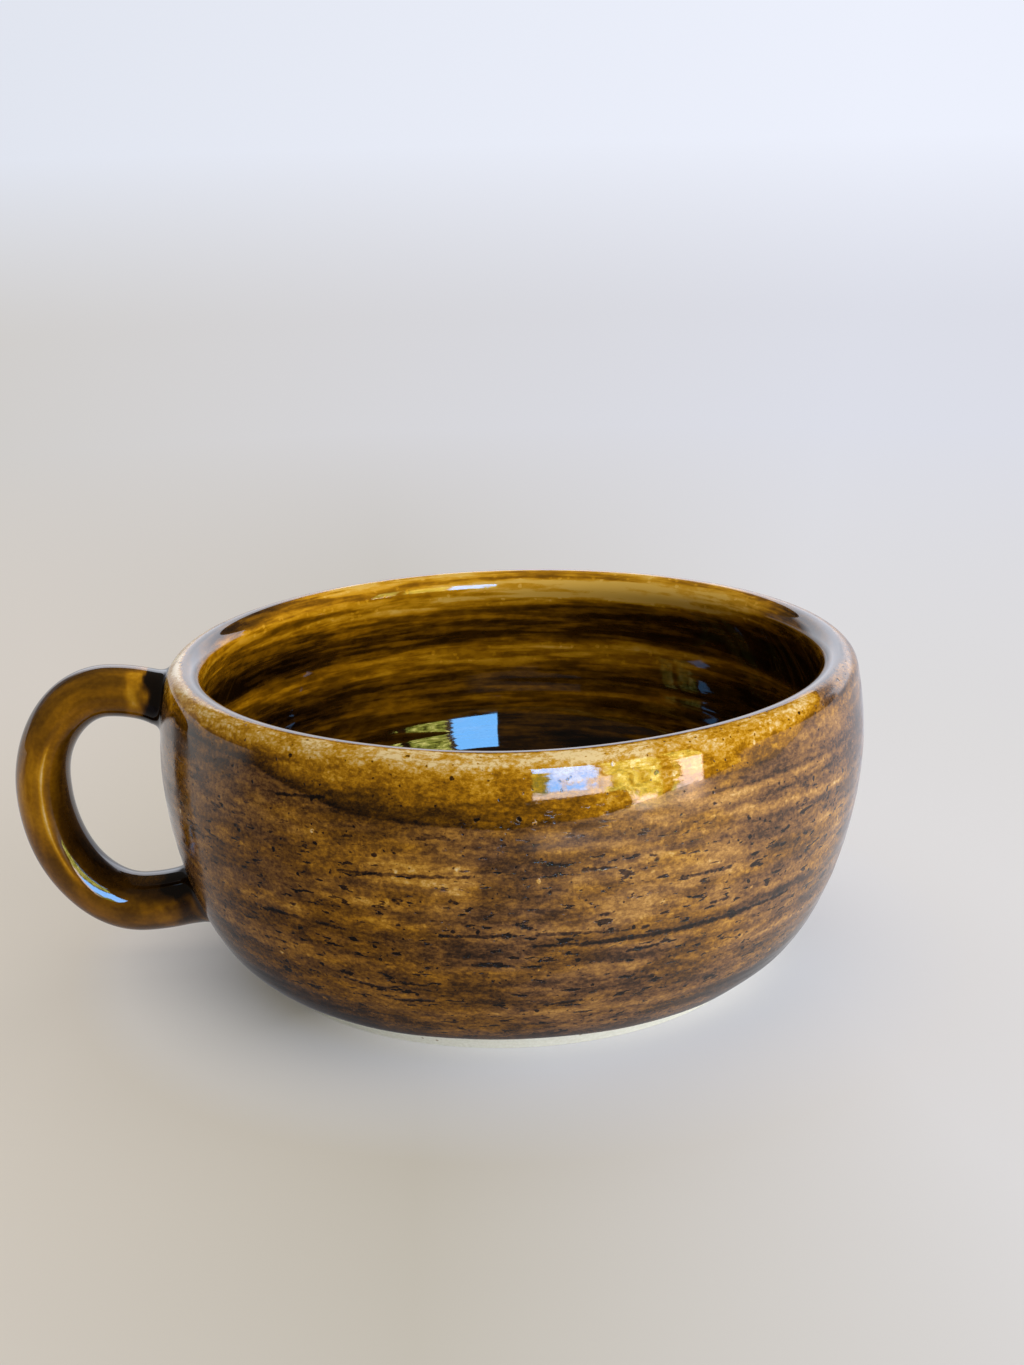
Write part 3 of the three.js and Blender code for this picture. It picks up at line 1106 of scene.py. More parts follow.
    def _glass(self, at: Places, outside: Array, outer: Array, inner: Array) -> Array:
        """What the glaze reads at each place. The glass is thick on the crown of the lip but at the back.

        Args:
            at: the places.
            outside: 1 outside and 0 inside.
            outer: height of the finger rings outside, about -1 to 1.
            inner: the same inside.

        Returns:
            The depth of glass, the height above the second dip's edge and the distance to the nearest
            furrow.
        """
        above = at.height - np.interp(at.angle, *np.transpose(self.second_dip))
        depth = outside * (self.outer.depth(at, outer) + self.dip_pool.lay(at.angle, above))
        depth += (1 - outside) * self.inner.depth(at, inner)
        on_crown = self.on_crown.at(at.along - at.along[self.crown])
        depth += (self.crown_depth - depth) * on_crown * (1 - self.thin_crown.at(at.angle))
        per_degree = self.belly_radius * np.pi / 180
        furrows = np.array(self.furrows) * [per_degree, 1.0]
        aside = away_from_lines(at.angle * per_degree, at.height, furrows, self.furrow_reach)
        return np.stack([depth, above, aside], axis=2)

    def build(self, clay: Material, outside: Material, inside: Material) -> list[Object]:
        """Makes the clay wall, the foot and the two coats.

        Args:
            clay: the bare clay.
            outside: the glaze outside.
            inside: the glaze inside.

        Returns:
            The pieces.
        """
        face, under = self._glazed()
        below, beyond = slice(BEAD_RINGS, self.crown + 1), slice(self.crown, None)
        outer_back = self._bare(thinned(under[below][::-1], self.outer_back_rings), self.columns)
        inner_back = self._bare(thinned(under[beyond][::-1], self.inner_back_rings), self.columns)
        outer_coat = joined(face.part(slice(0, self.crown + 1)), outer_back)
        inner_coat = joined(inner_back, face.part(beyond))
        parts = (
            ("clay_bowl", self._clay_wall(under), Ends.POLES, "bowl", Slot.CLAY, clay),
            ("clay_foot", self._foot(), Ends.JOINED, "foot_ring", Slot.CLAY, clay),
            ("glaze_coat_outside", outer_coat, Ends.JOINED, "glaze_outside", Slot.GLAZE, outside),
            ("glaze_coat_inside", inner_coat, Ends.POLES, "glaze_inside", Slot.GLAZE, inside),
        )
        return [make_piece(*part) for part in parts]

    def _bare(self, outline: Array, columns: int) -> Surface:
        """A turned surface with no rings and no glass, which faces to the right of its outline.

        Args:
            outline: radius and height of each ring.
            columns: points in a ring.

        Returns:
            The surface.
        """
        points = self._turn(outline, columns)
        return Surface(points, turned(self._sideways(outline), columns), points, np.zeros(points.shape))

    def _clay_wall(self, under: Array) -> Surface:
        """The clay from the middle of its underside, out to the foot, up, over the lip and to the well."""
        recess = np.array([[self.recess_hub, self.foot_height], [self.foot_top, self.foot_height]])
        wall = under[BEAD_RINGS::self.clay_takes_every]
        return self._bare(np.concatenate([resample(recess, self.recess_step), wall]), self.clay_columns)

    def _foot(self) -> Surface:
        """The turned foot ring: a flat bottom with eased edges, a flared outside and an upright inside."""
        outer, inner, edge = self.foot_radius, self.foot_radius - self.foot_width, self.foot_edge
        halfway = 0.3 * edge
        corners = np.array([
            [inner + edge, 0.0],
            [outer - edge, 0.0],
            [outer - halfway, halfway],
            [outer, edge],
            [self.foot_top, self.foot_height],
            [inner, self.foot_height],
            [inner, edge],
            [inner + halfway, halfway],
            [inner + edge, 0.0],
        ])
        return self._bare(resample(corners, self.foot_step)[:-1], self.columns)

    def lean_at(self, height: Array) -> Array:
        """How far the wall stands toward the handle at a height, because the bowl leans."""
        short = 1 - height / self.height
        return self.lean * short + self.lean_bow * short * short

    def gap_to_wall(self, points: Array, depth: float = 0.0) -> Array:
        """Level distance from points to the glazed wall's outside, negative inside it.

        Args:
            points: places in millimetres.
            depth: how far inside the glazed wall the surface that is meant lies.

        Returns:
            The distance of each point.
        """
        height = points[..., 2]
        level = points[..., 0] - BOWL_AXIS + self.lean_at(height)
        return np.hypot(level, points[..., 1]) - self.wall_radius(height) + depth

    def wall_radius(self, height: Array) -> Array:
        """Radius of the glazed wall's outside at a height."""
        wall = self.outline[BEAD_RINGS:self.crown]
        return np.interp(height, wall[:, 1], wall[:, 0])

    def on_wall(self, points: Array) -> tuple[Array, Array]:
        """Points moved level onto the glazed wall's outside, and the wall's normal at each."""
        height = points[..., 2]
        middle = BOWL_AXIS - self.lean_at(height)
        level = np.stack([points[..., 0] - middle, points[..., 1]], axis=-1)
        level /= np.linalg.norm(level, axis=-1, keepdims=True)
        radius = self.wall_radius(height)
        step = 0.2
        slope = (self.wall_radius(height + step) - self.wall_radius(height - step)) / (2 * step)
        normal = np.concatenate([level, -slope[..., None]], axis=-1)
        normal /= np.linalg.norm(normal, axis=-1, keepdims=True)
        placed = np.stack([middle + radius * level[..., 0], radius * level[..., 1], height], axis=-1)
        return placed, normal


# The handle

# Stretches of the strap, in shares of its length from the upper root.
UPPER_HALF = Band(fall=(0.5, 0.6))
LOWER_HALF = Band((0.5, 0.6))
# Where a pale line along the crest is painted as a highlight.
PAINTED_HIGHLIGHT_STRETCH = Band((0.3, 0.36), (0.6, 0.7))


@dataclass
class Handle:
    """The pulled strap in three lengths of clay and the coat of glaze round it.

    The sizes are the CAD's, measured on the clay. The strap's centre runs in the upright plane through
    the bowl's axis, and its place is a reach from that axis and a height.
    """

    bowl: Bowl
    crown_below_lip: float = 5.4
    crown_reach: float = 9.5
    outermost_reach: float = 22.8
    outermost_below_crown: float = 17.7
    lowest_height: float = 11.3
    lowest_reach: float = 5.5
    upper_root_drop: float = 3.0
    lower_root_rise: float = 2.9
    upper_thickness: float = 8.2
    lower_thickness: float = 10.1
    upper_width: float = 11.4
    lower_width: float = 12.4
    upper_root_length: float = 5.0
    lower_root_length: float = 6.0
    upper_root_flare: float = 0.6
    lower_root_flare: float = 1.3
    joint_gap: float = 0.3
    root_depth: float = 2.0

    root_points: int = 80
    quarter_points: int = 160
    run_in: float = 9.0
    wall_within: float = 12.0
    columns: int = 96
    step: float = 0.6
    back_rings: int = 40
    upper_fillet: float = 1.6
    lower_fillet: float = 2.2
    fillet_rings: int = 12
    fillet_sunk: float = 0.12
    swell: Mottle = Mottle(0.1, 5, 9.0, 31)

    plain_depth: float = 0.455
    mottles: tuple[Mottle, ...] = (Mottle(0.1, 5, 12.0, 32), Mottle(0.07, 11, 5.0, 33))
    ragged: tuple[Mottle, ...] = (Mottle(1.6, 7, 3.0, 35), Mottle(1.4, 17, 1.5, 36))
    strap_marks: tuple[Patch, ...] = (
        # Darker inside the loop: thicker glass, and painted shade where the bowl shades the strap.
        Patch(0.3, Band(), Band((0.2, 0.85))),
        Patch(0.16, Band(), Band(fall=(-1.0, -0.8))),
        # A pale line of thin glass along the crest: a painted highlight.
        Patch(-0.06, PAINTED_HIGHLIGHT_STRETCH, Bell(0.12, 0.14)),
        Patch(-0.3, PAINTED_HIGHLIGHT_STRETCH, Bell(0.12, 0.06)),
    )
    joint_marks: tuple[Patch, ...] = (
        Patch(-0.24, UPPER_HALF, Bell(5.6, 1.6)),
        Patch(0.08, LOWER_HALF, Band()),
        Patch(0.25, LOWER_HALF, Bell(4.0, 1.0)),
        Patch(-0.16, LOWER_HALF, Bell(8.0, 2.4)),
        # Darker next to the wall all along: pooled glass with painted shade in the joints.
        Patch(0.3, Band(), Band(fall=(0.2, 1.6))),
    )
    # Pooled glass and painted shade in the upper joint, darker at the front than at the back, and in the
    # lower joint inside the loop.
    front_pool_and_shade: float = 0.95
    back_pool_and_shade: float = 0.35
    pool_and_shade_turns_back: tuple[float, float] = (-1.0, 4.0)
    pool_and_shade_reach: Band = Band(fall=(2.0, 4.8))
    lower_pool_and_shade: float = 0.36
    lower_pool_and_shade_faces: Band = Band((0.2, 0.6))
    lower_pool_and_shade_reach: Band = Band(fall=(4.0, 12.0))

    def __post_init__(self) -> None:
        """Works out the centreline once."""
        self._line = self._centreline()
        self._walked = walked(self._line) - self.run_in
        self._length = self._walked[-1] - self.run_in
        self._tangent = np.gradient(self._line, self._walked, axis=0)

    def _centreline(self) -> Array:
        """Reach and height along the strap: a rising parabola from the upper root to the crown, a quarter
        ellipse to the outermost point, a wider one to the lowest, a parabola up into the lower root, and a
        straight run inside the wall at each end."""
        bowl = self.bowl
        crown = np.array([bowl.belly_radius + self.crown_reach, bowl.height - self.crown_below_lip])
        out_at = bowl.belly_radius + self.outermost_reach
        outermost = np.array([out_at, crown[1] - self.outermost_below_crown])
        lowest = np.array([bowl.belly_radius + self.lowest_reach, self.lowest_height])
        upper = self._root(crown[1] - self.upper_root_drop)
        lower = self._root(lowest[1] + self.lower_root_rise)
        line = np.concatenate([
            self._parabola(upper, crown),
            self._quarter(crown, outermost)[1:],
            self._quarter(lowest, outermost)[::-1][1:],
            self._parabola(lower, lowest)[::-1][1:],
        ])
        before = line[0] - self.run_in * (line[1] - line[0]) / np.linalg.norm(line[1] - line[0])
        after = line[-1] + self.run_in * (line[-1] - line[-2]) / np.linalg.norm(line[-1] - line[-2])
        return np.concatenate([[before], line, [after]])

    def _root(self, height: float) -> Array:
        """Reach and height of a root's centre, inside the clay wall."""
        clay = self.bowl.wall_radius(np.array(height)) - self.bowl.glaze
        return np.array([clay - self.root_depth, height])

    def _parabola(self, root: Array, level: Array) -> Array:
        """A parabola from a root to a point where it is level: a quadratic curve whose middle corner is
        halfway across, at the level point's height."""
        t = np.linspace(0, 1, self.root_points)[:, None]
        corner = np.array([(root[0] + level[0]) / 2, level[1]])
        return (1 - t) ** 2 * root + 2 * t * (1 - t) * corner + t * t * level

    def _quarter(self, level: Array, outermost: Array) -> Array:
        """A quarter ellipse from a level point to the outermost one: its half axes times sine and cosine."""
        angle = np.linspace(0, np.pi / 2, self.quarter_points)[:, None]
        half = outermost - level
        return level + half * np.concatenate([np.sin(angle), 1 - np.cos(angle)], axis=1)

    def _tube(self, distance: Array, angle: Array, extra: float) -> tuple[Array, Array, Array]:
        """The strap's surface: an ellipse across the centreline, swollen at the roots by the square of how
        near the wall is.

        Args:
            distance: distance from the upper root along the centreline, at each point.
            angle: angle round the section in radians; 0 faces into the loop.
            extra: thickness that is added all round.

        Returns:
            The points, the direction out of the strap at each, and their places across and along it.
        """
        angle = angle + 0 * distance
        reach, height = (np.interp(distance, self._walked, axis) for axis in self._line.T)
        along_reach, along_height = (np.interp(distance, self._walked, axis) for axis in self._tangent.T)
        share = np.clip(distance / self._length, 0, 1)
        upper = np.clip(1 - (distance - self.root_depth) / self.upper_root_length, 0, 1)
        lower = np.clip(1 - (self._length - distance - self.root_depth) / self.lower_root_length, 0, 1)
        flare = self.upper_root_flare * upper**2 + self.lower_root_flare * lower**2 + extra
        thickness = self.upper_thickness + (self.lower_thickness - self.upper_thickness) * share
        width = self.upper_width + (self.lower_width - self.upper_width) * share
        inward = (thickness / 2 + flare) * np.cos(angle)
        across = (width / 2 + flare) * np.sin(angle)
        points = np.stack([BOWL_AXIS - reach - along_height * inward, across,
                           height - along_reach * inward], axis=-1)
        out = np.stack([-along_height * np.cos(angle), np.sin(angle), -along_reach * np.cos(angle)], axis=-1)
        return points, out, np.stack([inward, across, distance], axis=-1)

    def _meets_wall(self, angle: Array, extra: float, depth: float, lower: bool) -> Array:
        """Where each line along the strap meets the wall, found by halving an interval.

        Args:
            angle: angle of each line round the section.
            extra: thickness that is added to the strap.
            depth: how far inside the glazed wall the surface that is meant lies.
            lower: whether the lower root is meant.

        Returns:
            The distance along the centreline, for each line.
        """
        inside = np.full(angle.shape, self._length + self.run_in if lower else -self.run_in)
        outside = np.full(angle.shape, self._length - self.wall_within if lower else self.wall_within)
        for _ in range(HALVINGS):
            middle = (inside + outside) / 2
            buried = self.bowl.gap_to_wall(self._tube(middle, angle, extra)[0], depth) < 0
            inside, outside = np.where(buried, middle, inside), np.where(buried, outside, middle)
        return outside

    def _fillet(self, angle: Array, meets: Array, reach: float, toward: float) -> Surface:
        """The glaze that runs from the strap onto the wall: a quadratic curve from the strap, with its
        corner where strap and wall meet, to the wall. Its last ring lies just under the wall's surface.

        Args:
            angle: angle of each line round the section.
            meets: where each line meets the wall.
            reach: how far the fillet runs along the strap and along the wall.
            toward: direction along the centreline out of the wall, 1 or -1.

        Returns:
            The rings, from the strap to the wall.
        """
        on_strap, out, lie = self._tube(meets + toward * reach, angle, self.bowl.glaze)
        corner, _, _ = self._tube(meets, angle, self.bowl.glaze)
        corner, normal = self.bowl.on_wall(corner)
        away = out - normal * (out * normal).sum(axis=-1, keepdims=True)
        away /= np.linalg.norm(away, axis=-1, keepdims=True)
        on_wall, wall_normal = self.bowl.on_wall(corner + reach * away)
        t = np.linspace(0, 1, self.fillet_rings)[:, None, None]
        points = (1 - t) ** 2 * on_strap + 2 * t * (1 - t) * corner + t * t * on_wall
        points[-1] -= self.fillet_sunk * wall_normal
        rough = out * (1 - t) + wall_normal * t
        lie = lie + np.array([0, 0, -toward * reach]) * t
        return Surface(points, rough, lie, np.zeros(points.shape))

    def _coat(self) -> Surface:
        """The glaze round the strap: a fillet on the wall, the strap's length, the other fillet, and back
        along the clay."""
        angle = np.linspace(0, 2 * np.pi, self.columns, endpoint=False)
        glaze = self.bowl.glaze
        upper = self._meets_wall(angle, glaze, 0.0, False)
        lower = self._meets_wall(angle, glaze, 0.0, True)
        upper_fillet = self._fillet(angle, upper, self.upper_fillet, 1.0)
        lower_fillet = self._fillet(angle, lower, self.lower_fillet, -1.0)
        first, last = upper + self.upper_fillet, lower - self.lower_fillet
        rings = round(self._length / self.step)
        distance = first + (last - first) * np.linspace(0, 1, rings)[1:-1, None]
        points, out, lie = self._tube(distance, angle, glaze)
        turn = angle / (2 * np.pi) + 0 * distance
        points = points + self.swell.at(turn, distance)[..., None] * out
        middle = Surface(points, out, lie, np.zeros(points.shape))
        face = joined(upper_fillet.part(slice(None, None, -1)), middle, lower_fillet)
        face.normals = grid_normals(face.points, face.normals)
        face.glass[..., 0] = self._depth(face, angle)
        back_distance = lower + (upper - lower) * np.linspace(0, 1, self.back_rings)[:, None]
        back, back_out, back_lie = self._tube(back_distance, angle, 0.0)
        return joined(face, Surface(back, -back_out, back_lie, np.zeros(back.shape)))

    def _depth(self, face: Surface, angle: Array) -> Array:
        """Depth of glass: amber along the strap, in long soft patches, and dark in both joints from pooled
        glass and painted shade.

        Args:
            face: the coat's rings that show.
            angle: angle of each point of a ring round the section; its cosine is 1 inside the loop.

        Returns:
            The depth at each point, 0 thin to 1 thick.
        """
        distance = face.lie[..., 2]
        turn = angle / (2 * np.pi) + 0 * distance
        inward, along = np.cos(angle), distance / self._length
        gap = self.bowl.gap_to_wall(face.points) + sum(mottle.at(turn, distance) for mottle in self.ragged)
        depth = self.plain_depth + sum(mottle.at(turn, distance) for mottle in self.mottles)
        depth += sum(mark.lay(along, inward) for mark in self.strap_marks)
        depth += sum(mark.lay(along, gap) for mark in self.joint_marks)
        # Pooled glass and painted shade in both joints.
        toward_back = between(face.points[..., 1], *self.pool_and_shade_turns_back)
        pool_and_shade = self.front_pool_and_shade + (self.back_pool_and_shade - self.front_pool_and_shade) * toward_back
        depth += pool_and_shade * UPPER_HALF.at(along) * self.pool_and_shade_reach.at(gap)
        lower = LOWER_HALF.at(along) * self.lower_pool_and_shade_faces.at(inward) * self.lower_pool_and_shade_reach.at(gap)
        return depth + self.lower_pool_and_shade * lower

    def _clay(self, first: Array, last: Array) -> Surface:
        """A length of the clay strap between two distances, given for each line round the section."""
        angle = np.linspace(0, 2 * np.pi, self.columns // 2, endpoint=False)
        rings = max(4, round(float(np.mean(last - first)) / (2 * self.step)))
        distance = first + (last - first) * np.linspace(0, 1, rings)[:, None] + 0 * angle
        points, out, lie = self._tube(distance, angle, 0.0)
        return Surface(points, out, lie, np.zeros(points.shape))

    def build(self, clay: Material, glaze: Material) -> list[Object]:
        """Makes the two roots, the loop and the coat.

        Args:
            clay: the bare clay.
            glaze: the glaze on the handle.

        Returns:
            The pieces.
        """
        angle = np.linspace(0, 2 * np.pi, self.columns // 2, endpoint=False)
        depth = self.bowl.glaze
        upper = self._meets_wall(angle, 0.0, depth, False) + self.joint_gap
        lower = self._meets_wall(angle, 0.0, depth, True) - self.joint_gap
        first = self.root_depth + self.upper_root_length + 0 * angle
        last = self._length - self.root_depth - self.lower_root_length + 0 * angle
        lengths = (
            ("clay_upper_root", "handle_root_upper", upper, first),
            ("clay_loop", "handle_loop", first, last),
            ("clay_lower_root", "handle_root_lower", last, lower),
        )
        pieces = [
            make_piece(name, self._clay(start, end), Ends.POLES, node, Slot.CLAY, clay)
            for name, node, start, end in lengths
        ]
        coat = ("glaze_coat_handle", self._coat(), Ends.JOINED, "glaze_handle", Slot.GLAZE, glaze)
        return pieces + [make_piece(*coat)]


# The studio


class Seen(Enum):
    """The kinds of ray that meet a stage piece."""

    BY_CAMERA = ("camera",)
    IN_GLOSS = ("glossy",)
    IN_BOUNCE = ("diffuse", "transmission")


@dataclass(frozen=True)
class Lamp:
    """A soft rectangular lamp that faces the mug and isn't mirrored in its glaze."""

    name: str
    bearing: float
    elevation: float
    distance: float
    size: tuple[float, float]
    power: float
    colour: str

    def build(self, target: Vector) -> Object:
        """Makes the lamp at its bearing and elevation from the target; bearing 0 is in front, 90 right."""
        data = bpy.data.lights.new(self.name, "AREA")
        data.shape = "RECTANGLE"
        data.size, data.size_y = self.size
        data.energy = self.power
        data.color = linear(self.colour)[:3]
        lamp = bpy.data.objects.new(self.name, data)
        bearing, elevation = np.radians([self.bearing, self.elevation])
        away = Vector((np.sin(bearing) * np.cos(elevation), -np.cos(bearing) * np.cos(elevation),
                       np.sin(elevation)))
        lamp.location = target + self.distance * away
        lamp.rotation_euler = (-away).to_track_quat("-Z", "Y").to_euler()
        lamp.visible_glossy = False
        bpy.context.scene.collection.objects.link(lamp)
        return lamp


@dataclass(frozen=True)
class Backdrop:
    """The paper that stands behind, as a glow of painted light: grey and warm low down, paler and cooler
    above.
    """

    low: Stops = ((0.0, "d0cdca"), (1.0, "dcdee8"))
    high: Stops = ((0.0, "e0e4ee"), (1.0, "edf1fd"))
    turns: Ramp = (0.0, 0.11)

    def lay(self, tree: NodeTree, height: Source, side: Source) -> Node:
        """Adds the backdrop's nodes.

        Args:
            tree: the node tree.
            height: height above the table.
            side: 0 at the left and 1 at the right.

        Returns:
            The node whose colour it is.
        """
        low = add_node(tree, "ValToRGB", side, stops=self.low)
        high = add_node(tree, "ValToRGB", side, stops=self.high)
        rise = add_node(tree, "MapRange", height, *self.turns)
        return add_node(tree, "Mix", rise, named={COLOUR_A: low, COLOUR_B: high}, data_type="RGBA")


@dataclass(frozen=True)
class MattPaper:
    """Matt paper with a glow of painted light, which stands in for soft light all round. Painted shade makes
    it warm and darker at the left; it is cool and bright to the right and behind, and it glows least, a
    painted shadow, in the corner under the belly that the window can't reach. Places are metres from the
    middle of the table, or from the foot where the name says so."""

    lit_from: float
    # Painted shade: the paper's colour and its glow are darker and warmer to the left, away from the lamps.
    # The glow is painted light, and beside the foot it is a painted bright patch.
    colour: Stops = ((0.0, "dacfb8"), (0.45, "cec5b0"), (1.0, "e6e2de"))
    glow: Stops = ((0.0, "d4ccc3"), (0.45, "c6c0b6"), (1.0, "dddbdb"))
    glow_by_foot: str = "dadde6"
    foot_glow_ends: Ramp = (0.055, 0.085)
    left_to_right: Ramp = (-0.25, 0.25)
    viewer_stands_back: float = 0.2
    # Painted shadow: less glow under the belly and beside the foot, least on the side away from the window.
    share_under_belly: Ramp = (0.0, 0.85, 0.1, 0.6)
    share_beside_foot: float = 0.55
    belly_shade_ends: Ramp = (0.05, 0.076)
    shade_ends: Ramp = (0.06, 0.22)
    floor_ends: Ramp = (0.16, 0.6)
    # Painted light: the glow is brighter higher up.
    power_by_height: Ramp = (0.3, 0.6, 1.0, 2.2)
    backdrop: Backdrop = Backdrop()

    def build(self) -> Material:
        """Makes the material: at each place a share of it glows and the rest is lit."""
        material, tree = new_material("matt_paper_with_painted_glow")
        place = add_node(tree, "TexCoord").outputs["Object"]
        x, _, height = add_node(tree, "SeparateXYZ", place).outputs
        away = add_node(tree, "VectorMath", place, operation="LENGTH")
        span = add_node(tree, "Math", away, self.viewer_stands_back, operation="ADD")
        bearing = add_node(tree, "Math", x, span, operation="DIVIDE")
        side = add_node(tree, "MapRange", bearing, *self.left_to_right)
        colour = add_node(tree, "ValToRGB", side, stops=self.colour)
        floor = add_node(tree, "ValToRGB", side, stops=self.glow)

        foot = (BOWL_AXIS * MM, 0.0, 0.0)
        from_foot = add_node(tree, "VectorMath", place, foot, operation="SUBTRACT")
        reach = add_node(tree, "VectorMath", from_foot, operation="LENGTH")
        unit = add_node(tree, "VectorMath", from_foot, operation="NORMALIZE")
        window = np.radians(self.lit_from)
        to_window = (np.sin(window), -np.cos(window), 0.0)
        faces = add_node(tree, "VectorMath", unit, to_window, operation="DOT_PRODUCT")
        # Painted shadow under the belly, lightest on the side toward the window.
        under_belly = add_node(tree, "MapRange", faces, *self.share_under_belly)
        beside = add_node(
            tree, "MapRange", reach, *self.belly_shade_ends, under_belly, self.share_beside_foot
        )
        share = add_node(
            tree, "MapRange", away, *self.shade_ends, beside, 1.0, interpolation_type="SMOOTHSTEP"
        )

        clear = add_node(tree, "MapRange", reach, *self.foot_glow_ends)
        by_foot = {COLOUR_A: linear(self.glow_by_foot), COLOUR_B: floor}
        near = add_node(tree, "Mix", clear, named=by_foot, data_type="RGBA")
        far = add_node(tree, "MapRange", away, *self.floor_ends)
        behind = self.backdrop.lay(tree, height, side)
        glow = add_node(tree, "Mix", far, named={COLOUR_A: near, COLOUR_B: behind}, data_type="RGBA")
        power = add_node(tree, "MapRange", height, *self.power_by_height)
        # A share of each place glows with painted light; the rest is matt and lit by the lamps.
        matt = add_node(tree, "BsdfDiffuse", colour)
        lit = add_node(tree, "Emission", glow, power)
        add_node(tree, "OutputMaterial", add_node(tree, "MixShader", share, matt, lit))
        return material


@dataclass(frozen=True)
class MirroredPaper:
    """A painted reflection of the paper where the glaze mirrors it: a sheet that glows, bright behind and at
    the right, dim at the front left with the dark table beyond, darkened near the mug by its painted shadow,
    and with one painted spot of sun in front."""

    front: Stops = ((0.0, "4e4e56"), (1.0, "dcdada"))
    left_to_right: Ramp = (-0.06, 0.14)
    front_to_back: Ramp = (-0.07, 0.1)
    own_shade: Ramp = (0.07, 0.12, 0.6, 1.0)
    own_shade_ends: Ramp = (0.0, 0.05)
    table_starts: Ramp = (-0.12, -0.17)
    table_light: float = 0.6
    sunlit_at: tuple[float, float, float] = (0.041, -0.212, 0.0)
    sun_fades: Ramp = (0.012, 0.05, 3.0, 1.0)
    top_by_side: Ramp = (-0.8, -0.45, 0.25, 2.3)
    top_starts: Ramp = (0.12, 0.3)
    backdrop: Backdrop = Backdrop()

    def build(self) -> Material:
        """Makes the material, which glows and isn't lit."""
        material, tree = new_material("mirrored_paper")
        place = add_node(tree, "TexCoord").outputs["Object"]
        x, y, height = add_node(tree, "SeparateXYZ", place).outputs
        side = add_node(tree, "MapRange", x, *self.left_to_right, interpolation_type="SMOOTHSTEP")
        front = add_node(tree, "ValToRGB", side, stops=self.front)
        away = add_node(tree, "VectorMath", place, operation="LENGTH")
        own_shade = add_node(tree, "MapRange", away, *self.own_shade)
        shade = add_node(tree, "MapRange", x, *self.own_shade_ends, own_shade, 1.0)
        table = add_node(tree, "MapRange", x, *self.table_starts, shade, self.table_light)
        dimmed = add_node(tree, "VectorMath", front, named={"Scale": table}, operation="SCALE")
        back = add_node(tree, "MapRange", y, *self.front_to_back, interpolation_type="SMOOTHSTEP")
        behind = self.backdrop.lay(tree, height, side)
        sheet = add_node(tree, "Mix", back, named={COLOUR_A: dimmed, COLOUR_B: behind}, data_type="RGBA")

        from_sun = add_node(tree, "VectorMath", place, self.sunlit_at, operation="DISTANCE")
        sun = add_node(tree, "MapRange", from_sun, *self.sun_fades, interpolation_type="SMOOTHSTEP")
        top = add_node(tree, "MapRange", x, *self.top_by_side)
        high = add_node(tree, "MapRange", height, *self.top_starts, 1.0, top)
        power = add_node(tree, "Math", sun, high, operation="MULTIPLY")
        add_node(tree, "OutputMaterial", add_node(tree, "Emission", sheet, power))
        return material


@dataclass(frozen=True)
class Sight:
    """A block of the view through the window, in shares of its width and height; leaves if no colour."""

    across: tuple[float, float]
    up: tuple[float, float]
    colour: str = ""


@dataclass(frozen=True)
class WindowView:
    """What the window shows: blocks of view one over another, with ragged edges, as shares of the pane.
    Leaves are drawn out along the slope of their branches."""

    power: float = 20.0
    sky: str = "74bbff"
    sights: tuple[Sight, ...] = (
        Sight((0.41, 1.2), (-0.3, 1.3)),
        Sight((0.37, 0.42), (-0.3, 1.3), "3a3020"),
        Sight((-0.2, 0.42), (-0.3, 0.09), "b8aca4"),
        Sight((-0.2, 0.09), (0.06, 0.42), "4c5c24"),
        Sight((0.74, 0.82), (-0.3, 1.3), "0a0806"),
        Sight((0.84, 1.2), (-0.3, 0.3), "e0c4b4"),
        Sight((0.57, 0.7), (-0.3, 0.06), "e0c4b4"),
    )
    ragged: float = 0.24
    garden: Stops = ((0.38, "242c0c"), (0.52, "868a38"), (0.68, "f0e490"))
    branch_slope: float = -0.5
    leaves_across: tuple[float, float, float] = (5.0, 12.0, 1.0)

    def build(self) -> Material:
        """Makes the material, which glows."""
        material, tree = new_material("window_glow")
        pane = add_node(tree, "TexCoord").outputs["UV"]
        across, up, _ = add_node(tree, "SeparateXYZ", pane).outputs
        slope = {"Vector": pane, "Rotation": (0, 0, self.branch_slope), "Scale": self.leaves_across}
        drawn = add_node(tree, "Mapping", named=slope)
        texture = {"Vector": drawn, "Scale": 2.0, "Detail": 6.0, "Roughness": 0.7}
        leaves = add_node(tree, "TexNoise", named=texture)
        garden = add_node(tree, "ValToRGB", leaves, stops=self.garden)
        ragged = [
            add_node(tree, "Math", leaves, self.ragged, part, operation="MULTIPLY_ADD")
            for part in (across, up)
        ]
        seen = linear(self.sky)
        for sight in self.sights:
            inside = []
            for place, (low, high) in zip(ragged, (sight.across, sight.up)):
                middle, reach = (low + high + self.ragged) / 2, (high - low) / 2
                inside.append(add_node(tree, "Math", place, middle, reach, operation="COMPARE"))
            both = add_node(tree, "Math", *inside, operation="MULTIPLY")
            colour = linear(sight.colour) if sight.colour else garden
            seen = add_node(
                tree, "Mix", both, named={COLOUR_A: seen, COLOUR_B: colour}, data_type="RGBA"
            )
        add_node(tree, "OutputMaterial", add_node(tree, "Emission", seen, self.power))
        return material


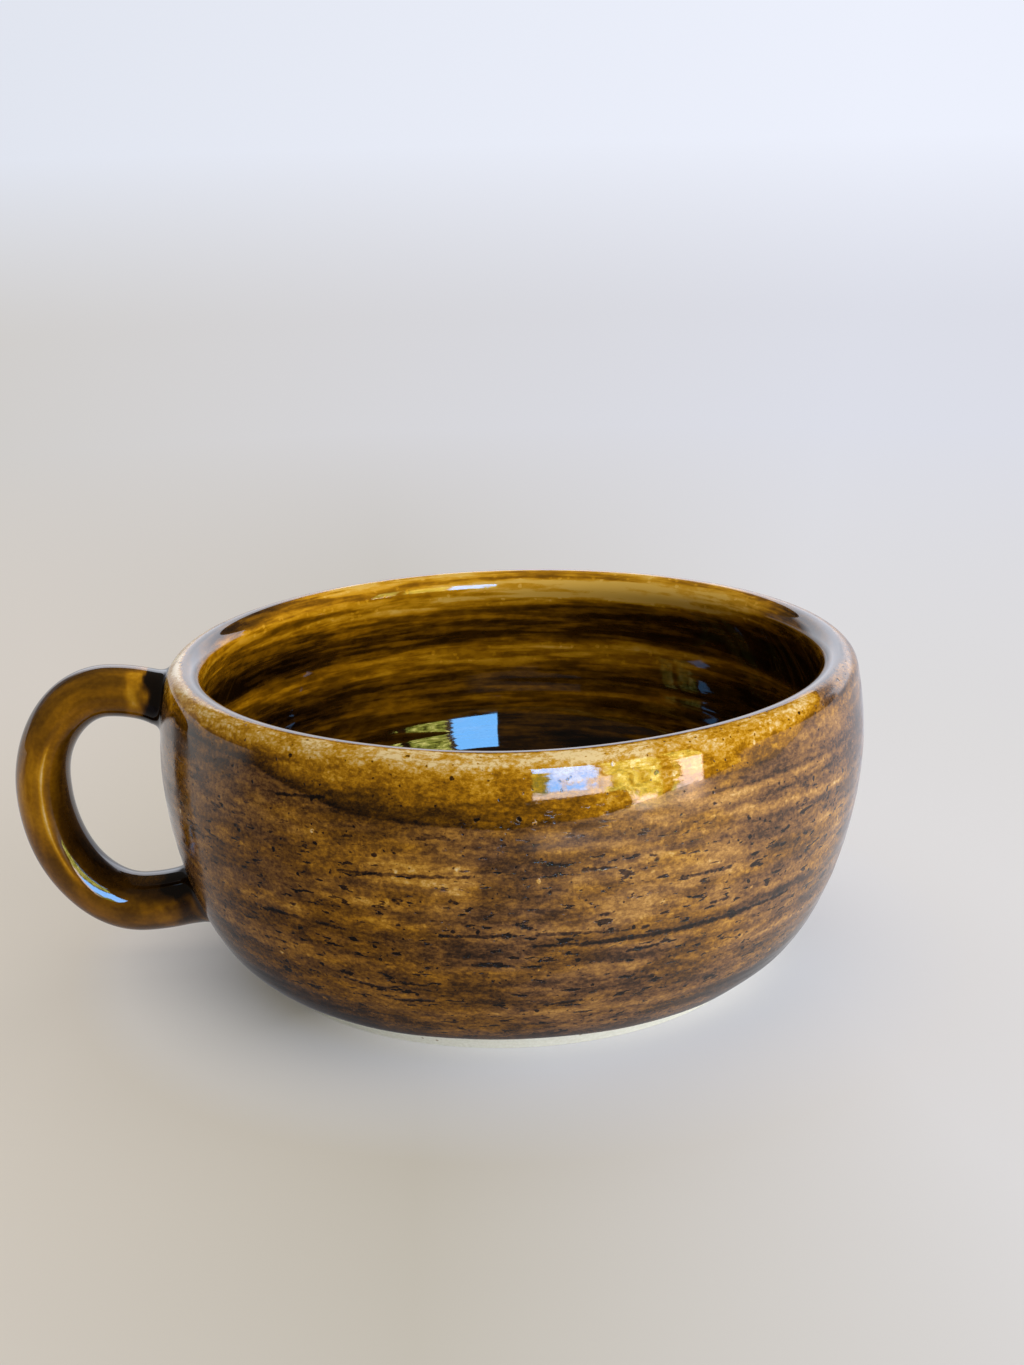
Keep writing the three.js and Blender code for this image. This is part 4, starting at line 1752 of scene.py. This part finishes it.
@dataclass
class Studio:
    """Pale paper swept up behind the mug, a window to its front right, soft lamps and the camera.

    Lengths are metres here. The camera sees paper all round, with a glow of painted light. The glaze mirrors
    a lower sheet, which glows with painted shade at its front left and ends in front of the mug, and the
    window.
    """

    paper_end: float = -0.30
    sweep_start: float = 0.75
    sweep_radius: float = 0.55
    paper_height: float = 1.5
    mirrored_height: float = 0.8
    surround_radius: float = 1.6
    surround_hub: float = 0.001
    surround_columns: int = 96
    sheet_width: float = 4.0
    sheet_columns: int = 48
    sheet_below: float = 0.0002
    room_colour: str = "d8d4cc"
    room_light: float = 0.1
    lamps: tuple[Lamp, ...] = (
        Lamp("window_light", 34.0, 13.0, 1.1, (0.9, 0.4), 8.0, "f2f6ff"),
        Lamp("side_light", 86.0, 16.0, 1.1, (0.8, 0.5), 5.0, "fffaf4"),
        Lamp("skylight", 0.0, 90.0, 1.4, (2.0, 2.0), 13.5, "f6f8ff"),
    )
    lit_at: tuple[float, float, float] = (0.0, 0.0, 0.03)
    window_bearings: tuple[float, float] = (3.0, 55.0)
    window_columns: int = 24
    window_rows: int = 8
    window_top: float = 0.68
    sill_drop: float = 0.1
    sill_drops_over: tuple[float, float] = (30.0, 34.0)
    camera_place: tuple[float, float, float] = (-0.004758, -0.356066, 0.158079)
    camera_heading: float = 3.0
    camera_drop: float = 16.6591
    camera_roll: float = -1.602
    camera_lens: float = 52.747

    def build(self) -> None:
        """Makes the paper, the window, the lamps, the room's dim light and the camera."""
        self._paper()
        self._window()
        for lamp in self.lamps:
            lamp.build(Vector(self.lit_at))
        self._world()
        self._camera()

    def _place(self, name: str, points: Array, wraps: bool, material: Material, seen: Seen) -> Object:
        """Makes a stage piece of a grid of points.

        Args:
            name: its name.
            points: rows and columns of points in metres.
            wraps: whether each row closes on itself.
            material: its material.
            seen: the kinds of ray that meet it.

        Returns:
            The stage piece, which casts no shadow.
        """
        rows, columns = points.shape[:2]
        place = np.arange(rows * columns).reshape(rows, columns)
        right = np.roll(place, -1, axis=1)
        if not wraps:
            place, right = place[:, :-1], right[:, :-1]
        faces = np.stack([place[:-1], right[:-1], right[1:], place[1:]], axis=2).reshape(-1, 4)
        mesh = bpy.data.meshes.new(name)
        mesh.from_pydata(points.reshape(-1, 3).tolist(), [], faces.tolist())
        mesh.polygons.foreach_set("use_smooth", np.ones(len(faces), bool))
        mesh.materials.append(material)
        piece = bpy.data.objects.new(name, mesh)
        for kind in ("camera", "diffuse", "glossy", "transmission", "volume_scatter", "shadow"):
            setattr(piece, "visible_" + kind, kind in seen.value)
        bpy.context.scene.collection.objects.link(piece)
        return piece

    def _sweep(self, start: float, turn_at: float, top: float) -> Array:
        """Distance and height of paper that lies flat, bends up by a quarter turn and stands to a top."""
        count = 24
        angle = np.linspace(0, np.pi / 2, count)
        bend = self.sweep_radius * np.stack([np.sin(angle), 1 - np.cos(angle)], axis=1)
        flat = np.stack([np.linspace(start, turn_at, count)[:-1], np.zeros(count - 1)], axis=1)
        rising = np.concatenate([[turn_at, 0.0] + bend, [[turn_at + self.sweep_radius, self.paper_height]]])
        line = np.concatenate([flat, rising])
        return np.concatenate([line[line[:, 1] < top], [[np.interp(top, rising[:, 1], rising[:, 0]), top]]])

    def _paper(self) -> None:
        """The paper all round as the camera sees it, the sheet that throws its painted glow and the lamps'
        light back at the mug, and the sheet as the glaze mirrors it, a painted reflection."""
        material = MattPaper(lit_from=self.lamps[0].bearing).build()
        profile = self._sweep(self.surround_hub, self.surround_radius - self.sweep_radius, self.paper_height)
        self._place("paper_round", turned(profile, self.surround_columns), True, material, Seen.BY_CAMERA)
        sheets = (
            ("paper_sheet", self.paper_height, material, Seen.IN_BOUNCE),
            ("mirrored_sheet", self.mirrored_height, MirroredPaper().build(), Seen.IN_GLOSS),
        )
        across = np.linspace(-self.sheet_width / 2, self.sheet_width / 2, self.sheet_columns)
        for name, top, finish, seen in sheets:
            profile = self._sweep(self.paper_end, self.sweep_start, top)
            sheet = np.broadcast_arrays(across, profile[:, :1], profile[:, 1:] - self.sheet_below)
            self._place(name, np.stack(sheet, axis=2), False, finish, seen)

    def _window(self) -> None:
        """The window that the glaze mirrors, set upright to the front right. Its sill drops by a step."""
        degrees = np.linspace(*self.window_bearings, self.window_columns)
        bearing = np.radians(degrees)
        sill = -self.sill_drop * between(degrees, *self.sill_drops_over)
        height = sill + (self.window_top - sill) * np.linspace(0, 1, self.window_rows)[:, None]
        panel = np.stack(np.broadcast_arrays(np.sin(bearing), -np.cos(bearing), height), axis=2)
        window = self._place("window", panel, False, WindowView().build(), Seen.IN_GLOSS)
        layer = window.data.uv_layers.new(name="pane")
        corners = np.empty(len(window.data.loops), int)
        window.data.loops.foreach_get("vertex_index", corners)
        rows, columns = panel.shape[:2]
        place = np.stack([corners % columns / (columns - 1), corners // columns / (rows - 1)], axis=1)
        layer.uv.foreach_set("vector", place.astype(np.float32).ravel())

    def _world(self) -> None:
        """The dim room beyond the paper and the window."""
        world = bpy.data.worlds.new("dim_room")
        world.use_nodes = True
        tree = world.node_tree
        tree.nodes.clear()
        room = add_node(tree, "Background", linear(self.room_colour), self.room_light)
        add_node(tree, "OutputWorld", room)
        bpy.context.scene.world = world

    def _camera(self) -> None:
        """The camera at the photograph's viewing angle: its heading, drop and roll in turn."""
        data = bpy.data.cameras.new("camera")
        data.lens = self.camera_lens
        data.sensor_width = 36.0
        camera = bpy.data.objects.new("camera", data)
        heading, drop, roll = np.radians([self.camera_heading, self.camera_drop, self.camera_roll])
        camera.matrix_world = (
            Matrix.Translation(self.camera_place)
            @ Matrix.Rotation(-heading, 4, "Z")
            @ Matrix.Rotation(np.pi / 2 - drop, 4, "X")
            @ Matrix.Rotation(roll, 4, "Z")
        )
        bpy.context.scene.collection.objects.link(camera)
        bpy.context.scene.camera = camera
        bpy.context.scene.view_settings.view_transform = "Standard"


def main() -> None:
    """Builds the mug and its studio, and reports each piece."""
    clay = PaleStoneware("pale_stoneware_turned").build()
    bowl = Bowl()
    handle = Handle(bowl)
    pieces = bowl.build(clay, POURED_OUTSIDE.build(), POURED_INSIDE.build())
    pieces += handle.build(clay, DIPPED_HANDLE.build())
    for piece in pieces:
        log.info("%s: %d faces", piece.name, len(piece.data.polygons))
    Studio().build()


if __name__ == "__main__":
    logging.basicConfig(level=logging.INFO, format="%(name)s: %(message)s")
    main()
